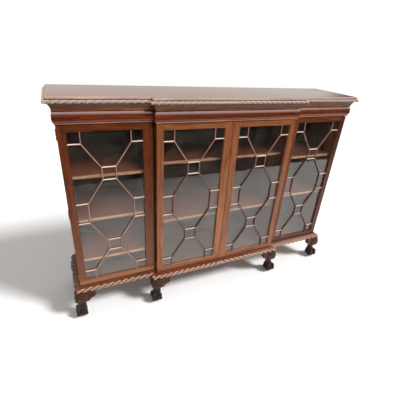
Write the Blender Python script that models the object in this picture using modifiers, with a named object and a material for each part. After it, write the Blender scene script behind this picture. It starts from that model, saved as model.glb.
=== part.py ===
"""Breakfront display cabinet: a low glazed bookcase on ball-and-claw feet.

The middle section stands forward of the two wings. Four glazed doors hang on butt hinges
outside the case. The origin is on the floor, at the middle of the cabinet's plan.
+X runs along the front to the right, -Y is the front, +Z is up. All lengths are in metres.
"""

import math

import bmesh
import bpy
from mathutils import Matrix, Vector

# Plan
BODY_WIDTH = 1.754
CENTRE_WIDTH = 0.860
WING_DEPTH = 0.328
BREAK_DEPTH = 0.038
TOP_BACK_OVERHANG = 0.016

# Heights, from the floor up
FOOT_HEIGHT = 0.181
BASE_THICKNESS = 0.0306
CASE_HEIGHT = 0.9288
FRIEZE_HEIGHT = 0.0593
COVE_HEIGHT = 0.0343
TOP_THICKNESS = 0.029

# Mouldings: how far they stand out from the case
EDGE_PROJECTION = 0.038
EDGE_LIP = 0.020
EDGE_ROUND = 0.0085
EDGE_SHOULDER = 0.0095
EDGE_FLAT_INSET = 0.021
EDGE_QUIRK_INSET = 0.0125
BASE_PROJECTION = 0.0365
BASE_BEAD_PROJECTION = 0.010
BASE_BEAD_HEIGHT = 0.005
BASE_BEAD_ROUND = 0.0017
ROPE_RADIUS = 0.011
FRIEZE_BULGE = 0.0105
FRIEZE_TOP_PROJECTION = 0.0053
FRIEZE_FOOT_PROJECTION = 0.0005
FRIEZE_BEAD_PROJECTION = 0.0045
FRIEZE_BEAD_HEIGHT = 0.0064
FRIEZE_BEAD_EDGE = 0.003
ROPE_STEPS = 6
EDGE_ROUND_STEPS = 3

# Projection of the cove above the rope, as a share of the way from the bead out to the rope's middle
BASE_COVE_SHARE = 0.333
# Height and projection of the cushion frieze, as shares of its height and bulge
CUSHION_SHARES = ((0.16, 0.30), (0.35, 0.68), (0.55, 0.93), (0.72, 1.0), (0.88, 0.83))
# Height and sweep of the cove, as shares of its height and of its sweep
COVE_SHARES = ((0.25, 0.06), (0.5, 0.2), (0.75, 0.48), (0.92, 0.8))

# Boards
PANEL_THICKNESS = 0.018
CASE_TOP_THICKNESS = 0.018
BACK_THICKNESS = 0.009
PANEL_REBATE = 0.009
SHELF_THICKNESS = 0.016
SHELF_HOUSING = 0.006
SHELF_SET_BACK = 0.009
LEFT_WING_SHELF_HEIGHTS = (0.145, 0.403, 0.652)
CENTRE_SHELF_HEIGHTS = (0.318, 0.688)
RIGHT_WING_SHELF_HEIGHTS = (0.363, 0.648)

# Doors
DOOR_THICKNESS = 0.020
DOOR_BACK_GAP = 0.001
DOOR_TOP_GAP = 0.004
DOOR_BOTTOM_GAP = 0.002
DOOR_MEETING_GAP = 0.003
WING_DOOR_FREE_GAP = 0.0075
TOP_RAIL = 0.030
BOTTOM_RAIL = 0.028
WING_HINGE_STILE = 0.036
WING_LOCK_STILE = 0.050
CENTRE_HINGE_STILE = 0.035
MEETING_STILE = 0.0435
GLASS_THICKNESS = 0.003
GLASS_REBATE = 0.007
ASTRAGAL_SET_BACK = 0.003
ASTRAGAL_DEPTH = 0.008
ASTRAGAL_WIDTH = 0.007
ASTRAGAL_RIM = 0.003

# Lattice lines, as shares of the glazed opening's width and height
ACROSS_SHARES = (0.0, 0.168, 0.403, 0.597, 0.832, 1.0)
UP_SHARES = (0.0, 0.070, 0.2115, 0.2895, 0.433, 0.567, 0.7105, 0.7885, 0.930, 1.0)

# Hinges
LEAF_HEIGHT = 0.052
LEAF_WIDTH = 0.0155
LEAF_THICKNESS = 0.0012
LEAF_GAP = 0.0005
KNUCKLE_RADIUS = 0.0027
PIN_RADIUS = 0.0011
PIN_STAND_OUT = 0.001
HINGE_END_DISTANCE = 0.020
DOOR_KNUCKLE_SHARE = 0.333
WEB_LAP = 0.0012
KNUCKLE_SIDES = 12
PIN_SIDES = 10

# Locks
LOCK_WIDTH = 0.030
LOCK_HEIGHT = 0.045
LOCK_DEPTH = 0.0085
LOCK_ROUNDING = 0.001
KEYHOLE_INSET = 0.018
KEYHOLE_RADIUS = 0.0027
KEYHOLE_SLOT_WIDTH = 0.0028
KEYHOLE_SLOT_LENGTH = 0.010
KEYHOLE_SIDES = 12

# Feet: the corner of the base moulding is their reference
FOOT_INSET = 0.0245
BALL_RADIUS = 0.0335
BALL_FLAT = 0.0015
KNEE_SIZE = 0.072
EAR_LENGTH = 0.112
EAR_THICKNESS = 0.020
EAR_INSET = 0.004
EAR_DROP = 0.068

# The leg's sections from the top down: height as a share of the foot's height, then middle and
# half width as shares of the knee's size, and how square the section is (2 is round)
LEG_SHARES = (
    (0.998, 0.47, 0.46, 6.0),
    (0.912, 0.47, 0.51, 5.0),
    (0.800, 0.46, 0.535, 4.0),
    (0.707, 0.47, 0.49, 3.5),
    (0.640, 0.49, 0.42, 3.0),
    (0.600, 0.49, 0.36, 2.6),
    (0.540, 0.47, 0.325, 2.3),
    (0.450, 0.45, 0.345, 2.1),
    (0.350, 0.42, 0.40, 2.0),
    (0.250, 0.39, 0.42, 2.0),
    (0.190, 0.37, 0.36, 2.0),
)
LEG_SIDES = 16
BALL_SEGMENTS = 16
BALL_RINGS = 10

# The ear's outline: length from the corner as a share of its length, drop as a share of its drop
EAR_SHARES = (
    (0.30, 0.0),
    (0.30, 1.0),
    (0.56, 1.0),
    (0.68, 0.87),
    (0.76, 0.70),
    (0.88, 0.64),
    (0.96, 0.52),
    (1.0, 0.36),
    (0.97, 0.20),
    (0.99, 0.0),
)

# Fits
SEAT = 0.0003
OVERRUN = 0.002
WELD = 0.00001

# Places worked out from the driving dimensions
FOOT_REACH = BASE_PROJECTION - FOOT_INSET + BALL_RADIUS
OVERALL_DEPTH = TOP_BACK_OVERHANG + WING_DEPTH + BREAK_DEPTH + max(EDGE_PROJECTION, FOOT_REACH)
TOP_BACK_Y = OVERALL_DEPTH / 2
BACK_Y = TOP_BACK_Y - TOP_BACK_OVERHANG
WING_FACE_Y = BACK_Y - WING_DEPTH
CENTRE_FACE_Y = WING_FACE_Y - BREAK_DEPTH
BODY_X = BODY_WIDTH / 2
CENTRE_X = CENTRE_WIDTH / 2
BASE_TOP_Z = FOOT_HEIGHT + BASE_THICKNESS
CASE_TOP_Z = BASE_TOP_Z + CASE_HEIGHT
FRIEZE_TOP_Z = CASE_TOP_Z + FRIEZE_HEIGHT
COVE_TOP_Z = FRIEZE_TOP_Z + COVE_HEIGHT
TOP_Z = COVE_TOP_Z + TOP_THICKNESS
DOOR_BOTTOM_Z = BASE_TOP_Z + DOOR_BOTTOM_GAP
DOOR_TOP_Z = CASE_TOP_Z - DOOR_TOP_GAP
DOOR_MIDDLE_Z = (DOOR_BOTTOM_Z + DOOR_TOP_Z) / 2
DOOR_TO_CASE = DOOR_THICKNESS + DOOR_BACK_GAP
WING_FRONT_Y = WING_FACE_Y + DOOR_TO_CASE
CENTRE_FRONT_Y = CENTRE_FACE_Y + DOOR_TO_CASE
SHELF_FRONT_Y = WING_FRONT_Y + SHELF_SET_BACK
BACK_FRONT_Y = BACK_Y - BACK_THICKNESS
HINGE_HEIGHTS = {
    "bottom": DOOR_BOTTOM_Z + HINGE_END_DISTANCE + LEAF_HEIGHT / 2,
    "middle": DOOR_MIDDLE_Z,
    "top": DOOR_TOP_Z - HINGE_END_DISTANCE - LEAF_HEIGHT / 2,
}


def clear_scene():
    for obj in list(bpy.data.objects):
        bpy.data.objects.remove(obj, do_unlink=True)


def new_collection(name):
    collection = bpy.data.collections.new(name)
    bpy.context.scene.collection.children.link(collection)
    return collection


def new_material(name, colour, roughness, metallic=0.0, transmission=0.0):
    material = bpy.data.materials.new(name)
    material.use_nodes = True
    shader = material.node_tree.nodes["Principled BSDF"]
    shader.inputs["Base Color"].default_value = (*colour, 1.0)
    shader.inputs["Roughness"].default_value = roughness
    shader.inputs["Metallic"].default_value = metallic
    shader.inputs["Transmission Weight"].default_value = transmission
    material.diffuse_color = (*colour, 1.0)
    return material


def mesh_from(bm, name):
    bmesh.ops.recalc_face_normals(bm, faces=bm.faces)
    mesh = bpy.data.meshes.new(name)
    bm.to_mesh(mesh)
    bm.free()
    return mesh


def place(name, mesh, location, material, collection=None):
    """Adds an object for the mesh, with its origin at the location."""
    obj = bpy.data.objects.new(name, mesh)
    obj.location = location
    if material is not None and not mesh.materials:
        mesh.materials.append(material)
    (collection or cabinet).objects.link(obj)
    return obj


def box_mesh(name, size):
    bm = bmesh.new()
    bmesh.ops.create_cube(bm, size=1.0, matrix=Matrix.Diagonal((*size, 1.0)))
    return mesh_from(bm, name)


def box(name, low, high, material, collection=None):
    """A board or block between two opposite corners, its origin at its middle."""
    low = Vector(low)
    high = Vector(high)
    return place(name, box_mesh(name, high - low), (low + high) / 2, material, collection)


def as_cutter(obj):
    obj.hide_render = True
    obj.display_type = "WIRE"
    return obj


def box_cutter(name, low, high):
    return as_cutter(box(name, low, high, None, cutters))


def cylinder_mesh(name, radius, height, sides):
    bm = bmesh.new()
    bmesh.ops.create_cone(bm, cap_ends=True, segments=sides, radius1=radius, radius2=radius, depth=height)
    return mesh_from(bm, name)


def boolean(obj, other, operation="DIFFERENCE"):
    modifier = obj.modifiers.new(other.name, "BOOLEAN")
    modifier.operation = operation
    modifier.object = other


def evaluated_mesh(obj, name):
    """The object's shape where it stands, with its modifiers done and its corners welded."""
    bpy.context.view_layer.update()
    source = obj.evaluated_get(bpy.context.evaluated_depsgraph_get())
    mesh = bpy.data.meshes.new_from_object(source)
    mesh.name = name
    mesh.transform(obj.matrix_world)
    bm = bmesh.new()
    bm.from_mesh(mesh)
    bmesh.ops.remove_doubles(bm, verts=bm.verts, dist=WELD)
    bmesh.ops.recalc_face_normals(bm, faces=bm.faces)
    bm.to_mesh(mesh)
    bm.free()
    return mesh


def remove(*objects):
    for obj in objects:
        bpy.data.objects.remove(obj, do_unlink=True)


def outline_mesh(name, loops, thickness):
    """A flat plate: the first loop is its outline, the others are its holes."""
    curve = bpy.data.curves.new(name, "CURVE")
    curve.dimensions = "2D"
    curve.fill_mode = "BOTH"
    curve.extrude = thickness / 2
    for loop in loops:
        spline = curve.splines.new("POLY")
        spline.points.add(len(loop) - 1)
        for point, (x, y) in zip(spline.points, loop):
            point.co = (x, y, 0.0, 1.0)
        spline.use_cyclic_u = True
    obj = bpy.data.objects.new(name, curve)
    bpy.context.scene.collection.objects.link(obj)
    mesh = evaluated_mesh(obj, name)
    remove(obj)
    bpy.data.curves.remove(curve)
    return mesh


def upright(name, outline, bottom, top, material):
    """A board that stands, from its outline in plan."""
    mesh = outline_mesh(name, [outline], top - bottom)
    return place(name, mesh, (0.0, 0.0, (bottom + top) / 2), material)


def front_corners(offset, back_y=BACK_Y):
    """The line of the front and ends in plan, standing out from the case by an offset."""
    wing_y = WING_FACE_Y - offset
    centre_y = CENTRE_FACE_Y - offset
    half = [(BODY_X + offset, back_y), (BODY_X + offset, wing_y)]
    half += [(CENTRE_X + offset, wing_y), (CENTRE_X + offset, centre_y)]
    return [(-x, y) for x, y in half] + half[::-1]


def moulded_board(name, profile, back_y, material):
    """A board with a moulded edge, one ring of corners for each point of its profile.

    The rings grow at the front and the ends only, so the back stays flat.
    """
    bm = bmesh.new()
    rings = []
    for offset, z in profile:
        rings.append([bm.verts.new((x, y, z)) for x, y in front_corners(offset, back_y)])
    for lower, upper in zip(rings, rings[1:]):
        for index in range(len(lower)):
            following = (index + 1) % len(lower)
            bm.faces.new((lower[index], lower[following], upper[following], upper[index]))
    bm.faces.new(rings[0])
    bm.faces.new(rings[-1])
    return place(name, mesh_from(bm, name), (0.0, 0.0, 0.0), material)


def arc(centre, radius, start, end, steps):
    """Points of an arc between two angles in degrees, both ends included."""
    angles = [math.radians(start + (end - start) * step / steps) for step in range(steps + 1)]
    return [(centre[0] + radius * math.cos(a), centre[1] + radius * math.sin(a)) for a in angles]


def base_profile():
    """From the underside outwards: rope, cove and bead."""
    rope = (BASE_PROJECTION - ROPE_RADIUS, FOOT_HEIGHT + ROPE_RADIUS)
    bead_z = BASE_TOP_Z - BASE_BEAD_HEIGHT
    cove_z = (rope[1] + ROPE_RADIUS + bead_z) / 2
    cove_x = BASE_BEAD_PROJECTION + (rope[0] - BASE_BEAD_PROJECTION) * BASE_COVE_SHARE
    points = arc(rope, ROPE_RADIUS, -90, 90, ROPE_STEPS)
    points += [(cove_x, cove_z), (BASE_BEAD_PROJECTION, bead_z)]
    points += [(BASE_BEAD_PROJECTION, BASE_TOP_Z - BASE_BEAD_ROUND)]
    return points + [(BASE_BEAD_PROJECTION - BASE_BEAD_ROUND, BASE_TOP_Z)]


def top_profile():
    """From the underside outwards: a lip, the roll that is carved, a quirk and a rounded shoulder."""
    roll = (EDGE_PROJECTION - EDGE_ROUND, COVE_TOP_Z + EDGE_ROUND)
    shoulder = (EDGE_PROJECTION - EDGE_FLAT_INSET, TOP_Z - EDGE_SHOULDER)
    quirk_z = (roll[1] + EDGE_ROUND + shoulder[1]) / 2
    points = [(EDGE_LIP, COVE_TOP_Z)]
    points += arc(roll, EDGE_ROUND, -90, 90, ROPE_STEPS)
    points.append((EDGE_PROJECTION - EDGE_QUIRK_INSET, quirk_z))
    return points + arc(shoulder, EDGE_SHOULDER, 0, 90, EDGE_ROUND_STEPS)


def cornice_profile():
    """The cornice's section: bead, cushion frieze and cove, then its flat back."""
    bottom = CASE_TOP_Z + SEAT
    top = COVE_TOP_Z - SEAT
    bead_z = bottom + FRIEZE_BEAD_HEIGHT
    points = [(FRIEZE_BEAD_EDGE, bottom), (FRIEZE_BEAD_PROJECTION, bottom + FRIEZE_BEAD_HEIGHT / 2)]
    points += [(FRIEZE_BEAD_EDGE, bead_z), (FRIEZE_FOOT_PROJECTION, bead_z)]
    for rise_share, bulge_share in CUSHION_SHARES:
        points.append((FRIEZE_BULGE * bulge_share, bead_z + (FRIEZE_TOP_Z - bead_z) * rise_share))
    points.append((FRIEZE_TOP_PROJECTION, FRIEZE_TOP_Z))
    sweep = EDGE_LIP - FRIEZE_TOP_PROJECTION
    for rise_share, sweep_share in COVE_SHARES:
        height = FRIEZE_TOP_Z + COVE_HEIGHT * rise_share
        points.append((FRIEZE_TOP_PROJECTION + sweep * sweep_share, height))
    return points + [(EDGE_LIP, top), (-PANEL_REBATE, top), (-PANEL_REBATE, bottom)]


def cornice():
    """A section swept along the front and the ends, mitred at the corners."""
    section = bpy.data.curves.new("cornice_section", "CURVE")
    section.dimensions = "2D"
    section.fill_mode = "NONE"
    loop = section.splines.new("POLY")
    points = cornice_profile()
    loop.points.add(len(points) - 1)
    for point, (offset, z) in zip(loop.points, points):
        point.co = (offset, z, 0.0, 1.0)
    loop.use_cyclic_u = True
    section_object = bpy.data.objects.new("cornice_section", section)
    bpy.context.scene.collection.objects.link(section_object)

    path = bpy.data.curves.new("cornice_path", "CURVE")
    path.dimensions = "2D"
    path.fill_mode = "NONE"
    path.bevel_mode = "OBJECT"
    path.bevel_object = section_object
    path.use_fill_caps = True
    line = path.splines.new("POLY")
    corners = front_corners(0.0)
    line.points.add(len(corners) - 1)
    for point, (x, y) in zip(line.points, corners):
        point.co = (x, y, 0.0, 1.0)
    path_object = bpy.data.objects.new("cornice_path", path)
    bpy.context.scene.collection.objects.link(path_object)

    mesh = evaluated_mesh(path_object, "cornice_moulding")
    remove(path_object, section_object)
    return place("cornice_moulding", mesh, (0.0, 0.0, 0.0), wood)


def case_top():
    """The inner board that closes the case behind the frieze."""
    inner = PANEL_REBATE + SEAT
    outline = [(x, min(y, BACK_FRONT_Y - SEAT)) for x, y in front_corners(-inner)]
    bottom = CASE_TOP_Z + SEAT
    return upright("case_top", outline, bottom, bottom + CASE_TOP_THICKNESS, wood)


def end_panel(side_name, side):
    """An end of the case, rebated at the back for the back panel."""
    outer = side * BODY_X
    inner = side * (BODY_X - PANEL_THICKNESS)
    rebate = side * (BODY_X - PANEL_REBATE)
    outline = [(outer, WING_FRONT_Y), (outer, BACK_Y), (rebate, BACK_Y), (rebate, BACK_FRONT_Y - SEAT)]
    outline += [(inner, BACK_FRONT_Y - SEAT), (inner, WING_FRONT_Y)]
    return upright(side_name + "_end_panel", outline, BASE_TOP_Z + SEAT, CASE_TOP_Z, wood)


def division(side_name, side):
    """A division: its outer half stops behind the wing door, its inner half runs to the centre door."""
    outer = side * (CENTRE_X + PANEL_THICKNESS)
    middle = side * CENTRE_X
    inner = side * (CENTRE_X - PANEL_THICKNESS)
    back = BACK_FRONT_Y - SEAT
    outline = [(outer, back), (outer, WING_FRONT_Y), (middle, WING_FRONT_Y), (middle, CENTRE_FRONT_Y)]
    outline += [(inner, CENTRE_FRONT_Y), (inner, back)]
    return upright(side_name + "_division", outline, BASE_TOP_Z + SEAT, CASE_TOP_Z, wood)


def back_panel():
    half = BODY_X - PANEL_REBATE - SEAT
    low = (-half, BACK_FRONT_Y, BASE_TOP_Z + SEAT)
    return box("back_panel", low, (half, BACK_Y, COVE_TOP_Z - SEAT), back_wood)


def shelf(name, low_x, high_x, height, walls):
    """A shelf between two faces of the case, and its grooves in the two walls."""
    bottom = BASE_TOP_Z + height
    top = bottom + SHELF_THICKNESS
    back = BACK_FRONT_Y - SEAT
    reach = SHELF_HOUSING - SEAT
    box(name, (low_x - reach, SHELF_FRONT_Y, bottom), (high_x + reach, back, top), shelf_wood)
    for wall, face, depth in zip(walls, (low_x, high_x), (-SHELF_HOUSING, SHELF_HOUSING)):
        ends = sorted((face - math.copysign(OVERRUN, depth), face + depth))
        low = (ends[0], SHELF_FRONT_Y - SEAT, bottom - SEAT)
        high = (ends[1], back + OVERRUN, top + SEAT)
        boolean(wall, box_cutter(name + "_groove", low, high))


def shelves(left_end, left_division, right_division, right_end):
    wing_inner = BODY_X - PANEL_THICKNESS
    wing_edge = CENTRE_X + PANEL_THICKNESS
    centre_edge = CENTRE_X - PANEL_THICKNESS
    bays = [
        ("left_wing", -wing_inner, -wing_edge, LEFT_WING_SHELF_HEIGHTS, (left_end, left_division)),
        ("centre", -centre_edge, centre_edge, CENTRE_SHELF_HEIGHTS, (left_division, right_division)),
        ("right_wing", wing_edge, wing_inner, RIGHT_WING_SHELF_HEIGHTS, (right_division, right_end)),
    ]
    for bay, low_x, high_x, heights, walls in bays:
        levels = ("lower", "middle", "upper") if len(heights) > 2 else ("lower", "upper")
        for level, height in zip(levels, heights):
            shelf(f"{bay}_{level}_shelf", low_x, high_x, height, walls)


def inset_loop(points, insets):
    """A loop of points counter-clockwise, each side moved inwards by its own inset."""
    count = len(points)
    moved = []
    for index in range(count):
        before = Vector(points[index - 1])
        here = Vector(points[index])
        after = Vector(points[(index + 1) % count])
        first = (here - before).normalized()
        second = (after - here).normalized()
        first_inner = Vector((-first.y, first.x)) * insets[index - 1]
        second_inner = Vector((-second.y, second.x)) * insets[index]
        turn = first.x * second.y - first.y * second.x
        gap = second_inner - first_inner
        along = (gap.x * second.y - gap.y * second.x) / turn
        moved.append(here + first_inner + first * along)
    return moved


def mirrored(pane, across, up):
    """The pane's corners mirrored across or up, kept counter-clockwise."""
    last_across = len(ACROSS_SHARES) - 1
    last_up = len(UP_SHARES) - 1
    corners = [(last_across - a if across else a, last_up - u if up else u) for a, u in pane]
    return corners if across == up else corners[::-1]


def lattice_panes():
    """Each pane's corners as (across, up) numbers in the two share lists, counter-clockwise.

    The panes of the left half and the lower half are given, the others mirror them.
    """
    corner = ((0, 0), (1, 0), (1, 1), (0, 1))
    side = ((0, 1), (1, 1), (2, 2), (2, 3), (1, 4), (0, 4))
    middle_side = ((0, 4), (1, 4), (1, 5), (0, 5))
    end = ((1, 0), (4, 0), (4, 1), (3, 2), (2, 2), (1, 1))
    square = ((2, 2), (3, 2), (3, 3), (2, 3))
    middle = ((2, 3), (3, 3), (4, 4), (4, 5), (3, 6), (2, 6), (1, 5), (1, 4))
    panes = [middle]
    for across in (False, True):
        panes.append(mirrored(middle_side, across, False))
        for up in (False, True):
            panes.append(mirrored(corner, across, up))
            panes.append(mirrored(side, across, up))
    for up in (False, True):
        panes.append(mirrored(end, False, up))
        panes.append(mirrored(square, False, up))
    return panes


def astragals(name, low_x, high_x, low_z, high_z, front_y):
    """The glazing bars of one door, with a thin rim against its frame."""
    low_x += SEAT
    high_x -= SEAT
    low_z += SEAT
    high_z -= SEAT
    width = high_x - low_x
    height = high_z - low_z
    loops = [[(low_x, low_z), (high_x, low_z), (high_x, high_z), (low_x, high_z)]]
    for pane in lattice_panes():
        points = [(low_x + width * ACROSS_SHARES[a], low_z + height * UP_SHARES[u]) for a, u in pane]
        insets = []
        for (a, u), (next_a, next_u) in zip(pane, list(pane[1:]) + [pane[0]]):
            on_side = a == next_a and a in (0, len(ACROSS_SHARES) - 1)
            on_end = u == next_u and u in (0, len(UP_SHARES) - 1)
            insets.append(ASTRAGAL_RIM if on_side or on_end else ASTRAGAL_WIDTH / 2)
        loops.append(inset_loop(points, insets))
    mesh = outline_mesh(name, loops, ASTRAGAL_DEPTH)
    obj = place(name, mesh, (0.0, front_y + ASTRAGAL_DEPTH / 2, 0.0), wood)
    obj.rotation_euler = (math.radians(90), 0.0, 0.0)
    return obj


def door_frame(name, low_x, high_x, opening, face_y):
    """Stiles and rails, rebated at the back for the glass."""
    back_y = face_y + DOOR_THICKNESS
    frame = box(name, (low_x, face_y, DOOR_BOTTOM_Z), (high_x, back_y, DOOR_TOP_Z), wood)
    left, right, bottom, top = opening
    low = (left, face_y - OVERRUN, bottom)
    boolean(frame, box_cutter(name + "_opening", low, (right, back_y + OVERRUN, top)))
    shoulder_y = face_y + ASTRAGAL_SET_BACK + ASTRAGAL_DEPTH
    low = (left - GLASS_REBATE, shoulder_y, bottom - GLASS_REBATE)
    high = (right + GLASS_REBATE, back_y + OVERRUN, top + GLASS_REBATE)
    boolean(frame, box_cutter(name + "_rebate", low, high))
    return frame


def glass_pane(name, opening, face_y):
    left, right, bottom, top = opening
    lap = GLASS_REBATE - SEAT
    front_y = face_y + ASTRAGAL_SET_BACK + ASTRAGAL_DEPTH + SEAT
    low = (left - lap, front_y, bottom - lap)
    return box(name, low, (right + lap, front_y + GLASS_THICKNESS, top + lap), glass)


def leaf_mesh(name, plate_side, knuckles, bore):
    """One hinge leaf. The pin stands on the origin, the door reaches to +X.

    plate_side is -1 for the leaf on the door and 1 for the leaf on the case.
    """
    faces = sorted((plate_side * LEAF_GAP / 2, plate_side * (LEAF_GAP / 2 + LEAF_THICKNESS)))
    plate_x = KNUCKLE_RADIUS + SEAT
    web_x = (PIN_RADIUS + SEAT + KNUCKLE_RADIUS) / 2
    low = (plate_x, faces[0], -LEAF_HEIGHT / 2)
    leaf = box("leaf", low, (LEAF_WIDTH, faces[1], LEAF_HEIGHT / 2), None, cutters)
    operands = []
    for low_z, high_z in knuckles:
        knuckle = cylinder_mesh("knuckle", KNUCKLE_RADIUS, high_z - low_z, KNUCKLE_SIDES)
        operands.append(place("knuckle", knuckle, (0.0, 0.0, (low_z + high_z) / 2), None, cutters))
        web_end = plate_x + WEB_LAP
        operands.append(box("web", (web_x, faces[0], low_z), (web_end, faces[1], high_z), None, cutters))
    for operand in operands:
        boolean(leaf, operand, "UNION")
    radius = PIN_RADIUS + SEAT if bore else PIN_RADIUS
    length = LEAF_HEIGHT + OVERRUN if bore else LEAF_HEIGHT
    pin = cylinder_mesh("pin", radius, length, PIN_SIDES)
    operands.append(place("pin", pin, (0.0, 0.0, 0.0), None, cutters))
    boolean(leaf, operands[-1], "DIFFERENCE" if bore else "UNION")
    mesh = evaluated_mesh(leaf, name)
    remove(leaf, *operands)
    mesh.shade_smooth()
    mesh.set_sharp_from_angle(angle=math.radians(35))
    mesh.materials.clear()
    mesh.materials.append(brass)
    return mesh


def leaf_pair():
    """The door's leaf turns on the pin, which the case's leaf holds at both ends."""
    half = LEAF_HEIGHT / 2
    joint = half * DOOR_KNUCKLE_SHARE
    door = leaf_mesh("door_leaf", -1, [(-joint + SEAT, joint - SEAT)], bore=True)
    case = leaf_mesh("case_leaf", 1, [(-half, -joint), (joint, half)], bore=False)
    return door, case


def hang_door(name, frame, case_wall, hinge_side, edge_x, face_y):
    """Three hinges on the door's outer edge, let into the door and the case."""
    axis_x = edge_x + hinge_side * PIN_STAND_OUT
    axis_y = face_y + DOOR_THICKNESS + DOOR_BACK_GAP / 2
    pocket = LEAF_GAP / 2 + LEAF_THICKNESS + SEAT
    ends = sorted((edge_x + hinge_side * OVERRUN, axis_x - hinge_side * (LEAF_WIDTH + SEAT)))
    turn = 0.0 if hinge_side < 0 else math.pi
    half = LEAF_HEIGHT / 2 + SEAT
    moving_leaves = []
    for level, height in HINGE_HEIGHTS.items():
        low = (ends[0], axis_y - pocket, height - half)
        high = (ends[1], axis_y, height + half)
        boolean(frame, box_cutter(f"{name}_{level}_door_pocket", low, high))
        low = (ends[0], axis_y, height - half)
        high = (ends[1], axis_y + pocket, height + half)
        boolean(case_wall, box_cutter(f"{name}_{level}_case_pocket", low, high))
        hollow = cylinder_mesh("knuckle_hollow", KNUCKLE_RADIUS + SEAT, 2 * half, KNUCKLE_SIDES)
        hollow_name = f"{name}_{level}_knuckle_hollow"
        hollow_cutter = as_cutter(place(hollow_name, hollow, (axis_x, axis_y, height), None, cutters))
        boolean(frame, hollow_cutter)
        boolean(case_wall, hollow_cutter)
        on_door = place(f"{name}_{level}_hinge_door_leaf", door_leaf, (axis_x, axis_y, height), brass)
        on_case = place(f"{name}_{level}_hinge_case_leaf", case_leaf, (axis_x, axis_y, height), brass)
        on_door.rotation_euler = (0.0, turn, 0.0)
        on_case.rotation_euler = (0.0, turn, 0.0)
        moving_leaves.append(on_door)
    pivot = bpy.data.objects.new(name + "_pivot", None)
    pivot.location = (axis_x, axis_y, DOOR_MIDDLE_Z)
    cabinet.objects.link(pivot)
    return moving_leaves, pivot


def fit_lock(name, frame, free_x, free_side, face_y):
    """A lock let into the back of the stile, flush with its edge, and its keyhole."""
    back_y = face_y + DOOR_THICKNESS
    ends = sorted((free_x - free_side * SEAT, free_x - free_side * LOCK_WIDTH))
    low = (ends[0], back_y - LOCK_DEPTH, DOOR_MIDDLE_Z - LOCK_HEIGHT / 2)
    high = (ends[1], back_y - SEAT, DOOR_MIDDLE_Z + LOCK_HEIGHT / 2)
    lock = box(name, low, high, brass)
    rounding = lock.modifiers.new("rounding", "BEVEL")
    rounding.width = LOCK_ROUNDING
    rounding.segments = 1
    ends = sorted((free_x + free_side * OVERRUN, free_x - free_side * (LOCK_WIDTH + SEAT)))
    low = (ends[0], low[1] - SEAT, low[2] - SEAT)
    high = (ends[1], back_y + OVERRUN, high[2] + SEAT)
    boolean(frame, box_cutter(name + "_pocket", low, high))

    key_x = free_x - free_side * KEYHOLE_INSET
    depth = DOOR_THICKNESS - LOCK_DEPTH
    hole = cylinder_mesh(name + "_keyhole", KEYHOLE_RADIUS, depth + 2 * OVERRUN, KEYHOLE_SIDES)
    hole_object = place(name + "_keyhole", hole, (key_x, face_y + depth / 2, DOOR_MIDDLE_Z), None, cutters)
    hole_object.rotation_euler = (math.radians(90), 0.0, 0.0)
    boolean(frame, as_cutter(hole_object))
    low = (key_x - KEYHOLE_SLOT_WIDTH / 2, face_y - OVERRUN, DOOR_MIDDLE_Z - KEYHOLE_SLOT_LENGTH)
    high = (key_x + KEYHOLE_SLOT_WIDTH / 2, face_y + depth + OVERRUN, DOOR_MIDDLE_Z)
    boolean(frame, box_cutter(name + "_key_slot", low, high))
    return lock


def door(name, hinge_x, free_x, stiles, face_y, case_wall, lock_name=None):
    """A glazed door: frame, astragals, glass, hinges and, on two doors, a lock."""
    hinge_side = math.copysign(1, hinge_x - free_x)
    hinge_stile, free_stile = stiles
    glazed = sorted((hinge_x - hinge_side * hinge_stile, free_x + hinge_side * free_stile))
    opening = (*glazed, DOOR_BOTTOM_Z + BOTTOM_RAIL, DOOR_TOP_Z - TOP_RAIL)
    frame = door_frame(name + "_frame", *sorted((hinge_x, free_x)), opening, face_y)
    bars = astragals(name + "_astragals", *opening, face_y + ASTRAGAL_SET_BACK)
    pane = glass_pane(name + "_glass", opening, face_y)
    leaves, pivot = hang_door(name, frame, case_wall, hinge_side, hinge_x, face_y)
    pieces = [frame, bars, pane, *leaves]
    if lock_name:
        pieces.append(fit_lock(lock_name, frame, free_x, -hinge_side, face_y))
    for piece in pieces:
        piece.parent = pivot
        piece.location -= pivot.location


def doors(left_end, left_division, right_division, right_end):
    wing_free = CENTRE_X + WING_DOOR_FREE_GAP
    meeting = DOOR_MEETING_GAP / 2
    wing_stiles = (WING_HINGE_STILE, WING_LOCK_STILE)
    centre_stiles = (CENTRE_HINGE_STILE, MEETING_STILE)
    wing_y = WING_FACE_Y
    centre_y = CENTRE_FACE_Y
    door("left_wing_door", -BODY_X, -wing_free, wing_stiles, wing_y, left_end, "left_wing_lock")
    door("left_centre_door", -CENTRE_X, -meeting, centre_stiles, centre_y, left_division)
    door("right_centre_door", CENTRE_X, meeting, centre_stiles, centre_y, right_division, "centre_lock")
    door("right_wing_door", BODY_X, wing_free, wing_stiles, wing_y, right_end)


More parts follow.
